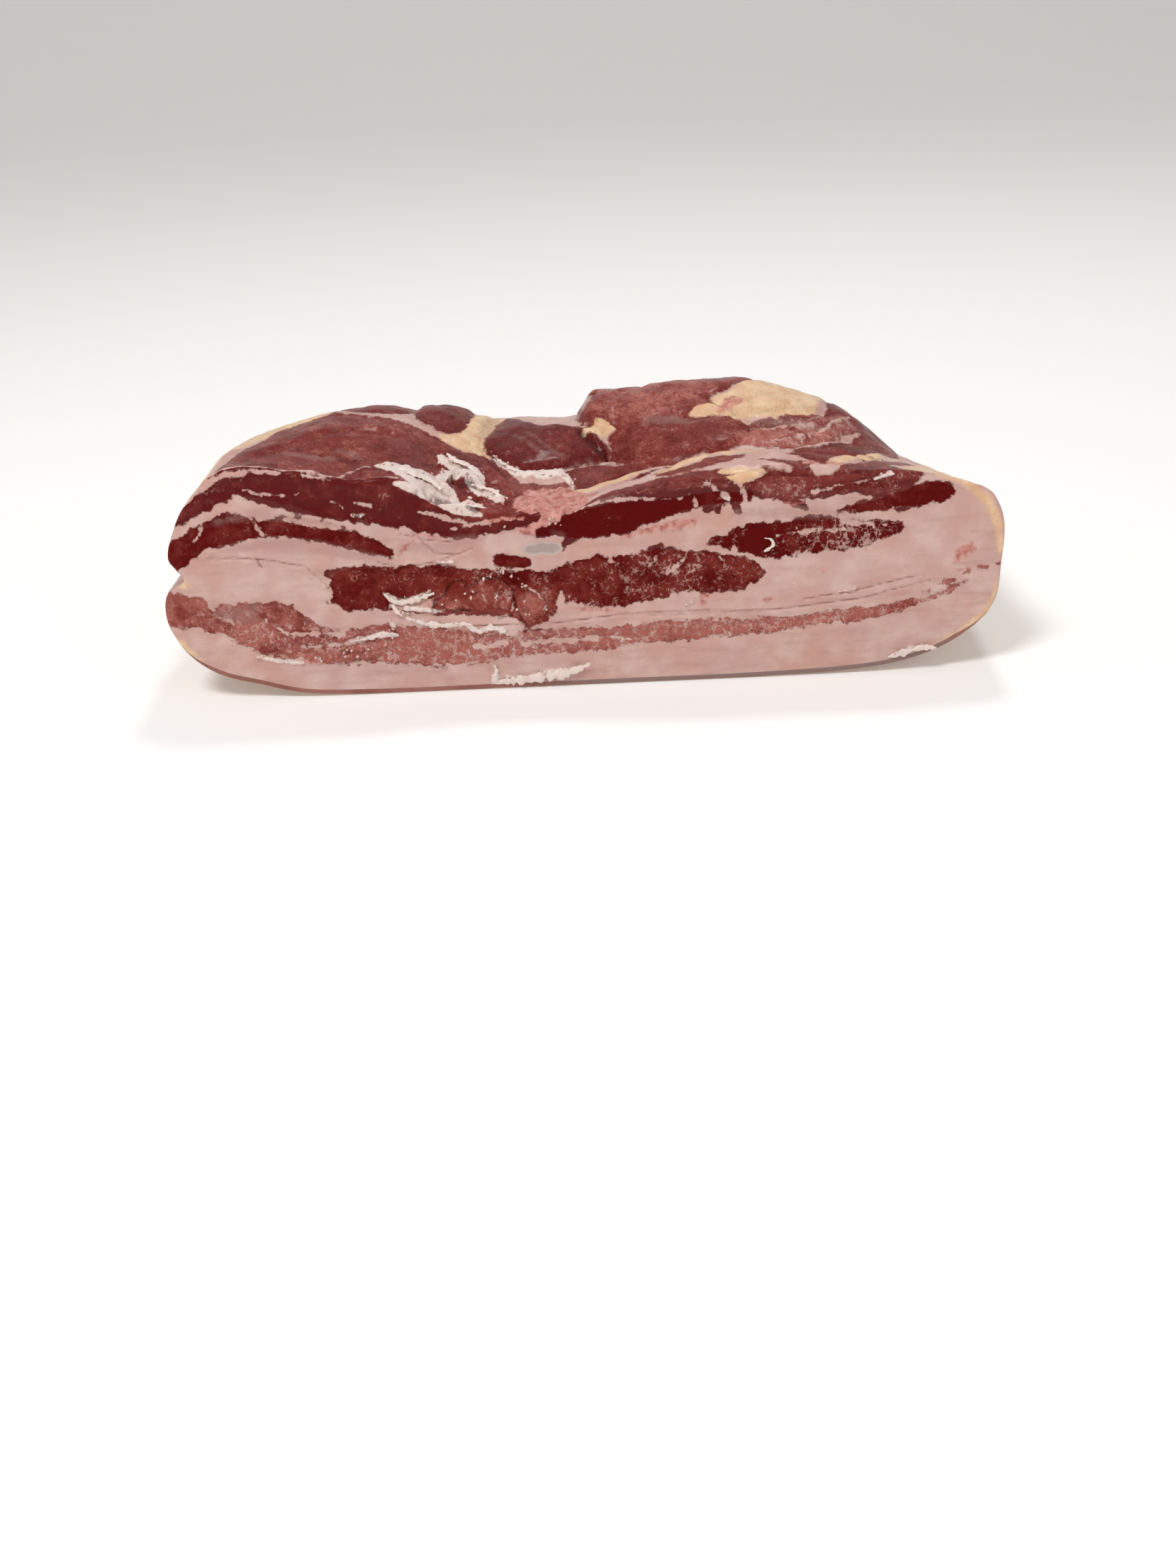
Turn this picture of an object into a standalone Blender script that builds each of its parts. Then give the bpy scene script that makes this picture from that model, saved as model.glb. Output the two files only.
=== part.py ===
# A slab of pork belly for pancetta, cut across the belly and lying on its rind side.
# Metres, +Z up. The origin is the middle of the underside. X runs along the cut faces, from the
# thin belly edge at -X to the fatty back edge at +X. Y runs from the front cut to the back cut.
# Every section is drawn once, in millimetres, on the front cut, and a rule carries it through
# the slab, so that each muscle layer shows on both cuts.

import math
import bpy
import bmesh
from mathutils import Vector, noise

MM = 0.001
DEPTH = 104.0             # front cut to back cut
GAP = 0.3                 # free space kept between a muscle and the fat round it
OVERRUN = 2.0             # how far a muscle's blank runs past the slab before it is trimmed
OUTLINE_POINTS = 68       # corners in one section of the slab
SLAB_STATIONS = 12        # sections of the slab along Y
LAYER_STATIONS = 6        # sections of a muscle layer along Y
LAYER_STEP = 5.6          # spacing of a layer's corners along X
CLOSING = 24.0            # length over which a layer that ends earlier thins out
LUMP_SIZE = 1.1           # height of the fine unevenness of the skin side and the top
BACK_NARROWING = 0.025    # the back cut is this much shorter than the front cut

# The outline of the front cut, from the groove at the belly edge over the top and back below.
FRONT_OUTLINE = [
    (-129, 42), (-131, 46), (-133, 50), (-131, 57), (-127, 65), (-121, 71), (-114, 77), (-104, 78),
    (-88, 76), (-72, 73), (-57, 72), (-47, 67), (-36, 63), (-20, 60), (-4, 60), (9, 64), (25, 67),
    (43, 70), (62, 70), (84, 69), (104, 68), (119, 65), (129, 60), (134, 50), (135, 37), (133, 22),
    (122, 11), (106, 4), (85, 1), (50, 0), (15, 0), (-3, 0), (-35, 0), (-66, 0), (-92, 1),
    (-108, 5), (-121, 9), (-130, 16), (-135, 25), (-136, 33), (-134, 39),
]

# Height of the top above the underside, front to back: (x, height) on four lines across.
TOP_LINES = [
    (-52, [(-136, 54), (-127, 65), (-120, 72), (-110, 78), (-95, 77), (-72, 73), (-57, 72), (-40, 65),
           (-20, 60), (-2, 60), (20, 66), (43, 70), (62, 70), (84, 69), (104, 68), (119, 65), (136, 54)]),
    (-18, [(-136, 51), (-127, 63), (-120, 71), (-110, 77), (-95, 80), (-76, 80), (-60, 77), (-42, 70),
           (-25, 65), (-10, 62), (6, 64), (20, 69), (42, 74), (62, 74), (82, 71), (100, 65), (116, 59),
           (136, 46)]),
    (16, [(-136, 46), (-127, 57), (-118, 66), (-106, 72), (-88, 77), (-70, 79), (-54, 77), (-38, 73),
          (-22, 70), (-8, 69), (1, 70), (7, 76), (22, 80), (42, 82), (60, 82), (73, 79), (86, 72),
          (98, 64), (110, 56), (122, 49), (136, 41)]),
    (52, [(-136, 38), (-124, 50), (-107, 59), (-86, 65), (-72, 66), (-56, 65), (-40, 64), (-24, 64),
          (-9, 63), (1, 63), (7, 68), (23, 71), (42, 73), (62, 72), (76, 68), (90, 60), (104, 52),
          (118, 44), (136, 34)]),
]

# Swellings and hollows of the top: middle, half widths along X and Y, and height.
TOP_BUMPS = {
    "tongue": (-43, 28, 13, 22, 2.6),
    "middle_muscle": (-9, 4, 19, 27, 3.6),
    "ridge_knob": (9, 42, 6, 9, 2.6),
    "yellow_hollow": (-29, 26, 7, 20, -2.4),
    "crease": (13, -2, 5, 22, -3.0),
    "fat_valley": (42, -27, 38, 7, -3.0),
    "right_fold": (88, -14, 26, 6, -1.8),
    "flank_dip": (-78, -33, 30, 9, -1.6),
}

# Muscle layers on the front cut: (x, height of the middle, thickness) from one tip to the other.
# drift is what the layer gains by the back cut: along X, upwards at its two tips, and as a share
# of its thickness. Where it gains along -X, it stays in line and only ends earlier.
LAYERS = {
    "lean_flank_top": {
        "spine": [(-134, 66, 14), (-126, 70, 17), (-116, 76, 18), (-107, 80, 20), (-95, 79, 24),
                  (-82, 75, 26), (-68, 73, 28), (-56, 72, 30), (-46, 69, 29), (-38, 66, 27),
                  (-29, 62, 16), (-21, 60.5, 11), (-13, 60, 5)],
        "drift": (-48, 0, 0, -0.1), "roughness": 0.5,
    },
    "lean_belly_edge": {
        "spine": [(-140, 46, 9), (-133, 49, 11), (-127, 53, 9), (-120, 57, 9), (-112, 59, 10),
                  (-103, 59, 6), (-94, 59, 6.5), (-84, 57, 7), (-74, 54, 6.5), (-67, 51, 5),
                  (-60, 48, 2.5)],
        "drift": (0, 2.5, 1, 0.15), "roughness": 0.45,
    },
    "lean_rib_sliver": {
        "spine": [(-29, 44.6, 2.4), (-26, 44.7, 4.2), (-21, 44.1, 4.2), (-17, 43.4, 2.2)],
        "drift": (0, -2.5, -2.5, -0.2), "roughness": 0.2,
    },
    "lean_main": {
        "spine": [(-83, 37, 9), (-76, 37, 14), (-65, 37, 14), (-50, 36, 16), (-38, 35.5, 14.5),
                  (-29, 34.5, 14), (-20, 32.3, 17.5), (-13, 32, 17), (-7, 35.5, 12), (2, 36, 16),
                  (12, 36, 17), (22, 37.5, 17), (32, 38, 14), (42, 37.5, 13), (52, 37, 9),
                  (58, 37, 4)],
        "drift": (6, -1, -5, 0.0), "roughness": 0.8,
    },
    "lean_loin_band": {
        "spine": [(40, 47.5, 2), (47, 48, 6), (54, 48, 10), (63, 47.5, 12), (74, 48.5, 12.5),
                  (86, 48.5, 10), (95, 49, 7), (103, 50, 3)],
        "drift": (-10, -2, -8, -0.1), "roughness": 0.5,
    },
    "lean_shoulder": {
        "spine": [(82, 56, 1.6), (91, 57.2, 3), (100, 58.7, 5), (108, 60.4, 7), (114, 60.8, 6.4),
                  (119, 61, 3)],
        "drift": (-4, -5, 0.5, -0.2), "roughness": 0.1,
    },
    "lean_upper": {
        "spine": [(-15, 53.2, 1.8), (-9, 54.4, 4.8), (-3, 55.3, 8.2), (6, 56.3, 10), (15, 57.2, 9.6),
                  (24, 59, 7.4), (33, 61, 4.5), (44, 62.3, 4), (55, 62.5, 3)],
        "drift": (2, -4, -11, -0.2), "roughness": 0.3,
    },
    "lean_crest": {
        "spine": [(6, 64.2, 3.4), (14, 66.6, 3.8), (24, 68.4, 3.4), (34, 70, 3.8), (46, 70.2, 6.2),
                  (58, 69.2, 8.6), (72, 68.5, 10), (86, 67.8, 9.6), (98, 67, 6.8), (108, 67, 4)],
        "drift": (-16, -13, -6, -0.25), "roughness": 0.2,
    },
    "lean_skin_muscle": {
        "spine": [(-141, 34, 8), (-133, 32.7, 12), (-126, 31.5, 11), (-119, 29, 11), (-112, 26.5, 15),
                  (-104, 24.5, 18.5), (-97, 23.5, 20), (-90, 20.5, 15), (-84, 18, 13), (-73, 17.5, 13),
                  (-60, 17.3, 14.4), (-50, 16.2, 14), (-40, 15.6, 12.6), (-30, 15.7, 10.5),
                  (-22, 15.8, 5)],
        "drift": (0, -1, 1, -0.1), "roughness": 0.7,
    },
    "lean_skin_ribbon": {
        "spine": [(-18.5, 15, 3.6), (-12, 15.3, 6.8), (-2, 15.5, 6.4), (10, 16, 5.8), (25, 17, 5.2),
                  (40, 17.5, 5), (60, 18.4, 5), (80, 20, 4.6), (94, 21.4, 3.6), (106, 24, 2.4),
                  (116, 27, 2.2), (124, 31, 1.6)],
        "drift": (3, 1, 1, 0.1), "roughness": 0.25,
    },
    "rib_cartilage": {
        "spine": [(-19.4, 47.8, 2), (-17, 48.1, 4), (-12.8, 48.2, 4.6), (-8.6, 48, 4), (-6.2, 47.7, 2)],
        "drift": (0, -3.5, -3.5, 0.0), "roughness": 0.0,
    },
}

# Muscles that lie in the top: middle and half sizes in plan, turn about Z in degrees, and how far
# they reach down at their front and back ends.
TOP_MUSCLES = {
    "lean_tongue": {"middle": (-43, 36), "half": (12, 27), "turn": -6, "depth": (4, 8)},
    "lean_middle": {"middle": (-9, 3), "half": (20, 32), "turn": 16, "depth": (5, 7)},
    "lean_ridge": {"middle": (41, 22), "half": (32, 40), "turn": -8, "depth": (1.2, 6.5)},
}

# What each node is kept clear of, besides the fat.
KEPT_CLEAR = {
    "lean_upper": ["lean_main", "lean_flank_top"],
    "rib_cartilage": ["lean_upper"],
    "lean_tongue": ["lean_flank_top"],
    "lean_middle": ["lean_flank_top", "lean_crest", "lean_upper"],
    "lean_ridge": ["lean_middle", "lean_crest", "lean_upper"],
    "lean_crest": ["lean_upper", "lean_shoulder"],
}

FINISHES = {
    "fat": ((0.60, 0.39, 0.34), 0.42),
    "dark_lean": ((0.11, 0.012, 0.012), 0.38),
    "pale_lean": ((0.27, 0.075, 0.062), 0.42),
    "top_lean": ((0.17, 0.045, 0.042), 0.35),
    "cartilage": ((0.42, 0.36, 0.33), 0.30),
}
FINISH_OF = {
    "lean_skin_muscle": "pale_lean", "lean_skin_ribbon": "pale_lean", "rib_cartilage": "cartilage",
    "lean_flank_top": "top_lean", "lean_tongue": "top_lean", "lean_middle": "top_lean",
    "lean_ridge": "top_lean", "lean_crest": "top_lean",
}


def along(keys, t):
    # The values at t on a smooth line through the keys, which are sorted by their first number.
    t = min(max(t, keys[0][0]), keys[-1][0])
    i = 0
    while i < len(keys) - 2 and keys[i + 1][0] < t:
        i += 1
    before, a, b, after = keys[max(i - 1, 0)], keys[i], keys[i + 1], keys[min(i + 2, len(keys) - 1)]
    span = b[0] - a[0]
    u = (t - a[0]) / span
    values = []
    for k in range(1, len(a)):
        slope_a = (b[k] - before[k]) / (b[0] - before[0]) * span
        slope_b = (after[k] - a[k]) / (after[0] - a[0]) * span
        values.append((2 * u**3 - 3 * u**2 + 1) * a[k] + (u**3 - 2 * u**2 + u) * slope_a
                      + (3 * u**2 - 2 * u**3) * b[k] + (u**3 - u**2) * slope_b)
    return values


def closed_curve(corners, count):
    # Evenly spaced points on a smooth closed line through the corners.
    fine = []
    steps = 12
    total = len(corners)
    for i in range(total):
        p0, p1, p2, p3 = (Vector(corners[(i + k) % total]) for k in (-1, 0, 1, 2))
        for s in range(steps):
            u = s / steps
            fine.append(0.5 * (2 * p1 + (p2 - p0) * u + (2 * p0 - 5 * p1 + 4 * p2 - p3) * u**2
                               + (3 * p1 - p0 - 3 * p2 + p3) * u**3))
    lengths = [0.0]
    for a, b in zip(fine, fine[1:] + fine[:1]):
        lengths.append(lengths[-1] + (b - a).length)
    points = []
    k = 0
    for i in range(count):
        wanted = lengths[-1] * i / count
        while lengths[k + 1] < wanted:
            k += 1
        u = (wanted - lengths[k]) / (lengths[k + 1] - lengths[k])
        points.append(fine[k].lerp(fine[(k + 1) % len(fine)], u))
    return points


def top_height(x, y):
    # Height of the slab's top at x and y.
    height = along([(line_y, along(line, x)[0]) for line_y, line in TOP_LINES], y)[0]
    for middle_x, middle_y, half_x, half_y, rise in TOP_BUMPS.values():
        height += rise * math.exp(-((x - middle_x) / half_x) ** 2 - ((y - middle_y) / half_y) ** 2)
    return height


def carry(x, z, y):
    # Moves a point of the front cut back to y: the slab thins, swells and narrows with depth.
    y = min(max(y, -DEPTH / 2), DEPTH / 2)
    front = top_height(x, -DEPTH / 2)
    share = min(max(z / front, 0.0), 1.4)
    lift = (top_height(x, y) - front) * share**1.4
    narrowing = 1 - BACK_NARROWING * ((y + DEPTH / 2) / DEPTH) ** 2
    return Vector((x * narrowing, y, z + lift))


def loft(name, rings):
    # A closed mesh through rings of equal size, each given as millimetre points. Its faces are
    # split one way throughout, so that a muscle and its room stay evenly apart.
    mesh = bpy.data.meshes.new(name)
    shape = bmesh.new()
    rows = [[shape.verts.new(point * MM) for point in ring] for ring in rings]
    for row, following in zip(rows, rows[1:]):
        for i in range(len(row)):
            j = (i + 1) % len(row)
            shape.faces.new((row[i], row[j], following[j]))
            shape.faces.new((row[i], following[j], following[i]))
    shape.faces.new(rows[0])
    shape.faces.new(rows[-1])
    bmesh.ops.recalc_face_normals(shape, faces=shape.faces)
    shape.to_mesh(mesh)
    shape.free()
    return mesh


def slab_mesh():
    # The whole slab before its muscles are told apart, with a slightly uneven rind and top.
    outline = closed_curve(FRONT_OUTLINE, OUTLINE_POINTS)
    rings = []
    for s in range(SLAB_STATIONS):
        y = DEPTH * (s / (SLAB_STATIONS - 1) - 0.5)
        ring = []
        for x, z in outline:
            point = carry(x, max(z, 0.0), y)
            if z > 8.0:
                inside = math.sin(math.pi * s / (SLAB_STATIONS - 1))
                point.z += LUMP_SIZE * inside * noise.noise(Vector((x, y, 7.0)) / 17.0)
            ring.append(point)
        rings.append(ring)
    return loft("slab", rings)


def layer_outline(layer, y):
    # The outline of a muscle layer at depth y, still in the terms of the front cut.
    spine = layer["spine"]
    across, up_left, up_right, swell = layer["drift"]
    share = (min(max(y, -DEPTH / 2), DEPTH / 2) + DEPTH / 2) / DEPTH
    start, end = spine[0][0], spine[-1][0]
    count = max(4, round((end - start) / LAYER_STEP))
    last = end + min(across, 0.0) * share
    upper, lower = [], []
    for i in range(count + 1):
        u = i / count
        x = start + (last - start) * u
        middle, thick = along(spine, x)
        half = thick / 2 * (1 + swell * share)
        if across < 0:
            closed = 1 - math.sqrt(min((last - x + 2.0) / CLOSING, 1.0))
            half *= 1 - closed * min(4 * share, 1.0)
        middle += (up_left + (up_right - up_left) * u) * share
        middle += layer["roughness"] * 2 * share * (1 - share) * noise.noise(Vector((x, y, thick)) / 11.0)
        slid = x + max(across, 0.0) * share
        upper.append(Vector((slid, middle + half)))
        lower.append(Vector((slid, middle - half)))
    return upper + lower[::-1]


def widened(outline, grow):
    # The outline moved outwards all round by grow.
    points = []
    for i, point in enumerate(outline):
        before = (point - outline[i - 1]).normalized()
        after = (outline[(i + 1) % len(outline)] - point).normalized()
        outward = Vector((-before.y - after.y, before.x + after.x)).normalized()
        lean = max(outward.dot(Vector((-before.y, before.x))), 0.6)
        points.append(point + outward * grow / lean)
    return points


def layer_mesh(name, layer, grow):
    # A muscle layer's blank, a little longer than the slab is deep.
    rings = []
    for s in range(-1, LAYER_STATIONS + 1):
        y = DEPTH * (min(max(s, 0), LAYER_STATIONS - 1) / (LAYER_STATIONS - 1) - 0.5)
        overrun = OVERRUN * ((s > LAYER_STATIONS - 1) - (s < 0))
        section = [carry(x, z, y) for x, z in layer_outline(layer, y)]
        outline = widened([Vector((point.x, point.z)) for point in section], grow)
        rings.append([Vector((x, y + overrun, z)) for x, z in outline])
    return loft(name, rings)


def muscle_mesh(name, muscle, grow):
    # The blank of a muscle that lies in the top: a turned ball, flattened along the top's form.
    mesh = bpy.data.meshes.new(name)
    shape = bmesh.new()
    bmesh.ops.create_uvsphere(shape, u_segments=20, v_segments=10, radius=1.0)
    turn = math.radians(muscle["turn"])
    half_x, half_y = (size + grow for size in muscle["half"])
    front, back = muscle["depth"]
    for vertex in shape.verts:
        across, deep, up = vertex.co
        x = muscle["middle"][0] + half_x * across * math.cos(turn) - half_y * deep * math.sin(turn)
        y = muscle["middle"][1] + half_x * across * math.sin(turn) + half_y * deep * math.cos(turn)
        reach = front + (back - front) * (deep + 1) / 2 + grow
        vertex.co = Vector((x, y, top_height(x, min(y, DEPTH / 2)) + reach * up)) * MM
    bmesh.ops.triangulate(shape, faces=shape.faces, quad_method="FIXED")
    shape.to_mesh(mesh)
    shape.free()
    return mesh


def add_object(name, mesh, collection, cutter=False):
    made = bpy.data.objects.new(name, mesh)
    collection.objects.link(made)
    if cutter:
        made.hide_render = True
        made.display_type = "WIRE"
    return made


def add_boolean(target, operation, cutter):
    cut = target.modifiers.new(operation.lower() + "_" + cutter.name, "BOOLEAN")
    cut.operation = operation
    cut.solver = "EXACT"
    cut.object = cutter


def keep_largest_body(piece):
    # Applies a piece's Booleans and drops the loose scraps that they leave.
    mesh = bpy.data.meshes.new_from_object(piece.evaluated_get(bpy.context.evaluated_depsgraph_get()))
    shape = bmesh.new()
    shape.from_mesh(mesh)
    bodies = []
    unseen = set(shape.verts)
    while unseen:
        front = [unseen.pop()]
        body = []
        while front:
            vertex = front.pop()
            body.append(vertex)
            linked = {edge.other_vert(vertex) for edge in vertex.link_edges} & unseen
            unseen -= linked
            front.extend(linked)
        bodies.append(body)
    bodies.sort(key=len)
    bmesh.ops.delete(shape, geom=[vertex for body in bodies[:-1] for vertex in body], context="VERTS")
    shape.to_mesh(mesh)
    shape.free()
    piece.modifiers.clear()
    piece.data = mesh


def finish_material(name):
    colour, roughness = FINISHES[name]
    material = bpy.data.materials.new(name)
    material.use_nodes = True
    shader = material.node_tree.nodes["Principled BSDF"]
    shader.inputs["Base Color"].default_value = (*colour, 1.0)
    shader.inputs["Roughness"].default_value = roughness
    return material


def main():
    for old in list(bpy.data.objects):
        bpy.data.objects.remove(old)
    pieces = bpy.data.collections.new("pancetta_slab")
    cutters = bpy.data.collections.new("cutters")
    muscle_rooms = bpy.data.collections.new("muscle_rooms")
    for collection in (pieces, cutters, muscle_rooms):
        bpy.context.scene.collection.children.link(collection)
    materials = {name: finish_material(name) for name in FINISHES}

    slab = add_object("cutter_slab", slab_mesh(), cutters, cutter=True)
    blanks = {name: (layer_mesh, layer) for name, layer in LAYERS.items()}
    blanks.update({name: (muscle_mesh, muscle) for name, muscle in TOP_MUSCLES.items()})

    fat = add_object("fat_body", slab.data.copy(), pieces)
    fat.data.materials.append(materials["fat"])
    rooms = {}
    for name, (make, shape) in blanks.items():
        room = make("room_" + name, shape, GAP)
        rooms[name] = add_object("room_" + name, room, muscle_rooms, cutter=True)
    cut = fat.modifiers.new("muscle_rooms", "BOOLEAN")
    cut.operation = "DIFFERENCE"
    cut.solver = "EXACT"
    cut.operand_type = "COLLECTION"
    cut.collection = muscle_rooms

    for name, (make, shape) in blanks.items():
        piece = add_object(name, make(name, shape, 0.0), pieces)
        piece.data.materials.append(materials[FINISH_OF.get(name, "dark_lean")])
        add_boolean(piece, "INTERSECT", slab)
        for neighbour in KEPT_CLEAR.get(name, []):
            add_boolean(piece, "DIFFERENCE", rooms[neighbour])

    for piece in pieces.objects:
        keep_largest_body(piece)


main()
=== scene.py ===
import math
from functools import partial

import bmesh
import bpy
import numpy as np
from mathutils import Matrix, Vector
from mathutils.geometry import delaunay_2d_cdt


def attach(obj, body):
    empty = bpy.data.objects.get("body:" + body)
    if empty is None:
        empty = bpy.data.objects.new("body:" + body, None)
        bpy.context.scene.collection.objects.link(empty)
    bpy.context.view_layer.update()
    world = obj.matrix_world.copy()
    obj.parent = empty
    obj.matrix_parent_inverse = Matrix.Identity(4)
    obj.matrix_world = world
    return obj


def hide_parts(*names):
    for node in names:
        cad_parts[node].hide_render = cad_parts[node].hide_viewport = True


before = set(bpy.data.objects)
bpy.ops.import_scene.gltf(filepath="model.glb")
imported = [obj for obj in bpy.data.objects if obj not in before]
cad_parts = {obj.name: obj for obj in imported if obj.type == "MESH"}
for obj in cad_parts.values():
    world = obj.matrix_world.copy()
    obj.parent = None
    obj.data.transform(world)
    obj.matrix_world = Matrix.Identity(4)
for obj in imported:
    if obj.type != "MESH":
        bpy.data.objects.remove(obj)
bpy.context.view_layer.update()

# The slab as a whole. The steps are how far apart the points of its skin are.
slab = {
    "depth": 104.0, "backNarrowing": 0.025,
    "skinStep": 1.05, "underStep": 4.0, "stationStep": 1.15, "capSteps": (0.78, 1.1),
    "edges": [(0.0, 1.1), (0.3, 0.5), (0.8, 0.12), (1.5, 0.0)],   # behind a cut, and how far pulled in
    "lumpSize": 1.1,
}
half = slab["depth"] / 2

# The outline of the front cut, from the groove at the belly edge over the top and back below.
frontOutline = [
    (-129, 42), (-131, 46), (-133, 50), (-131, 57), (-127, 65), (-121, 71), (-114, 77), (-104, 78),
    (-88, 76), (-72, 73), (-57, 72), (-47, 67), (-36, 63), (-20, 60), (-4, 60), (9, 64), (25, 67),
    (43, 70), (62, 70), (84, 69), (104, 68), (119, 65), (130, 61), (135, 51), (135, 37), (133, 22),
    (122, 11), (106, 4), (85, 1), (50, 0), (15, 0), (-3, 0), (-35, 0), (-66, 0), (-92, 1),
    (-108, 5), (-121, 9), (-130, 16), (-135, 25), (-136, 33), (-134, 39),
]

# Height of the top above the underside: (x, height) on four lines across, front to back.
topLines = {
    -52: [(-136, 54), (-127, 65), (-120, 72), (-110, 78), (-95, 77), (-72, 73), (-57, 72), (-40, 65),
          (-20, 60), (-2, 60), (20, 66), (43, 70), (62, 70), (84, 69), (104, 68), (119, 65), (136, 54)],
    -18: [(-136, 51), (-127, 63), (-120, 71), (-110, 77), (-95, 80), (-76, 80), (-60, 77), (-42, 70),
          (-25, 65), (-10, 62), (6, 64), (20, 69), (42, 74), (62, 74), (82, 71), (100, 65), (116, 59),
          (136, 46)],
    16: [(-136, 46), (-127, 57), (-118, 66), (-106, 72), (-88, 77), (-70, 79), (-54, 77), (-38, 73),
         (-22, 70), (-8, 69), (1, 70), (7, 76), (22, 80), (42, 82), (60, 82), (73, 79), (86, 72),
         (98, 64), (110, 56), (122, 49), (136, 41)],
    52: [(-136, 38), (-124, 50), (-107, 59), (-86, 65), (-72, 66), (-56, 65), (-40, 64), (-24, 64),
         (-9, 63), (1, 63), (7, 68), (23, 71), (42, 73), (62, 72), (76, 68), (90, 60), (104, 52),
         (118, 44), (136, 34)],
}

# Swellings and hollows of the top: middle, half widths along x and y, and height.
topBumps = {
    "tongue": (-43, 28, 13, 22, 2.6),
    "middleMuscle": (-9, 4, 19, 27, 3.6),
    "ridgeKnob": (9, 42, 6, 9, 1.4),
    "yellowHollow": (-29, 26, 7, 20, -2.4),
    "crease": (13, -2, 5, 22, -3.0),
    "fatValley": (42, -27, 38, 7, -3.0),
    "rightFold": (88, -14, 26, 6, -1.8),
    "flankDip": (-78, -33, 30, 9, -1.6),
    "rightShoulder": (90, 18, 13, 26, 3.4),
    "tongueCrown": (-45, 30, 10, 18, 1.2),
    "stripDip": (-57.5, 30, 3.5, 18, -0.6),
    "yellowSwell": (-26, 34, 9, 16, 1.2),
    "knobFront": (4, 34, 4, 12, 0.8),
}


def curveAt(knots, values, t):
    # Values at t on smooth lines through the knots, one row of values for each t.
    t = np.clip(t, knots[0], knots[-1])
    rows = np.arange(len(t))
    i = np.clip(np.searchsorted(knots, t, side="left") - 1, 0, len(knots) - 2)
    before, after = np.maximum(i - 1, 0), np.minimum(i + 2, len(knots) - 1)
    span = knots[i + 1] - knots[i]
    u = (t - knots[i]) / span
    slopeA = (values[rows, i + 1] - values[rows, before]) / (knots[i + 1] - knots[before]) * span
    slopeB = (values[rows, after] - values[rows, i]) / (knots[after] - knots[i]) * span
    return ((2 * u**3 - 3 * u**2 + 1) * values[rows, i] + (u**3 - 2 * u**2 + u) * slopeA
            + (3 * u**2 - 2 * u**3) * values[rows, i + 1] + (u**3 - u**2) * slopeB)


def along(keys, t):
    # The values at t of each column of the keys, which are sorted by their first number.
    keys = np.array(keys, float)
    t = np.asarray(t, float)
    columns = [curveAt(keys[:, 0], np.broadcast_to(keys[:, k], (len(t), len(keys))), t)
               for k in range(1, keys.shape[1])]
    return columns[0] if len(columns) == 1 else columns


def topHeight(x, y):
    # Height of the slab's top at x and y, without its fine relief.
    lines = np.stack([along(line, x) for line in topLines.values()], 1)
    height = curveAt(np.array(list(topLines), float), lines, y)
    for middleX, middleY, halfX, halfY, rise in topBumps.values():
        height = height + rise * np.exp(-((x - middleX) / halfX) ** 2 - ((y - middleY) / halfY) ** 2)
    return height


def narrowingAt(y):
    return 1 - slab["backNarrowing"] * ((y + half) / slab["depth"]) ** 2


def liftAt(x, z, y):
    # How far a point of the front cut rises on its way back to y.
    front = topHeight(x, np.full(len(x), -half))
    share = np.clip(z / front, 0, 1.4)
    return (topHeight(x, y) - front) * share**1.4


def carry(x, z, y):
    # Moves points of the front cut back to y: the slab thins, swells and narrows with depth.
    x, z = np.asarray(x, float), np.asarray(z, float)
    y = np.clip(np.broadcast_to(np.asarray(y, float), x.shape), -half, half)
    return np.stack([x * narrowingAt(y), y, z + liftAt(x, z, y)], 1)


def sectionOf(points):
    # The place on the front cut from which each point was carried.
    y = np.clip(points[:, 1], -half, half)
    x = points[:, 0] / narrowingAt(y)
    z = points[:, 2].copy()
    for _ in range(8):
        z = points[:, 2] - liftAt(x, z, y)
    return x, z


def closedCurve(corners, steps=8):
    # A smooth closed line through the corners.
    corners = np.array(corners, float)
    p0, p1, p2, p3 = (np.roll(corners, k, axis=0)[:, None] for k in (1, 0, -1, -2))
    u = np.linspace(0, 1, steps, endpoint=False)[None, :, None]
    fine = 0.5 * (2 * p1 + (p2 - p0) * u + (2 * p0 - 5 * p1 + 4 * p2 - p3) * u**2
                  + (3 * p1 - p0 - 3 * p2 + p3) * u**3)
    return fine.reshape(-1, corners.shape[1])


def respaced(line, spacing, closed=True):
    # The line with its points as far apart as spacing says at each of them.
    if closed:
        line = np.vstack([line, line[:1]])
    middles = (line[1:] + line[:-1]) / 2
    lengths = np.linalg.norm(np.diff(line, axis=0), axis=1)
    steps = np.concatenate([[0], np.cumsum(lengths / spacing(middles))])
    count = max(3, round(steps[-1]))
    wanted = np.linspace(0, steps[-1], count if closed else count + 1, endpoint=not closed)
    return np.stack([np.interp(wanted, steps, line[:, k]) for k in range(line.shape[1])], 1)


shuffled = np.random.default_rng(5).permutation(256)
slopes = np.random.default_rng(6).normal(size=(256, 3))
slopes /= np.linalg.norm(slopes, axis=1)[:, None]


def lumps(points, size, seed=0.0):
    # Smooth random values, about -1 to 1, with lumps of that size.
    places = np.asarray(points, float) / size + seed * 17.37
    cell = np.floor(places).astype(int)
    offset = places - cell
    ease = offset**3 * (offset * (offset * 6 - 15) + 10)
    total = np.zeros(len(places))
    for corner in np.ndindex(2, 2, 2):
        x, y, z = ((cell + corner) & 255).T
        slope = slopes[shuffled[(shuffled[(shuffled[x] + y) & 255] + z) & 255]]
        weight = np.where(np.array(corner) == 1, ease, 1 - ease).prod(1)
        total += weight * (slope * (offset - corner)).sum(1)
    return total * 1.6


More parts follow.
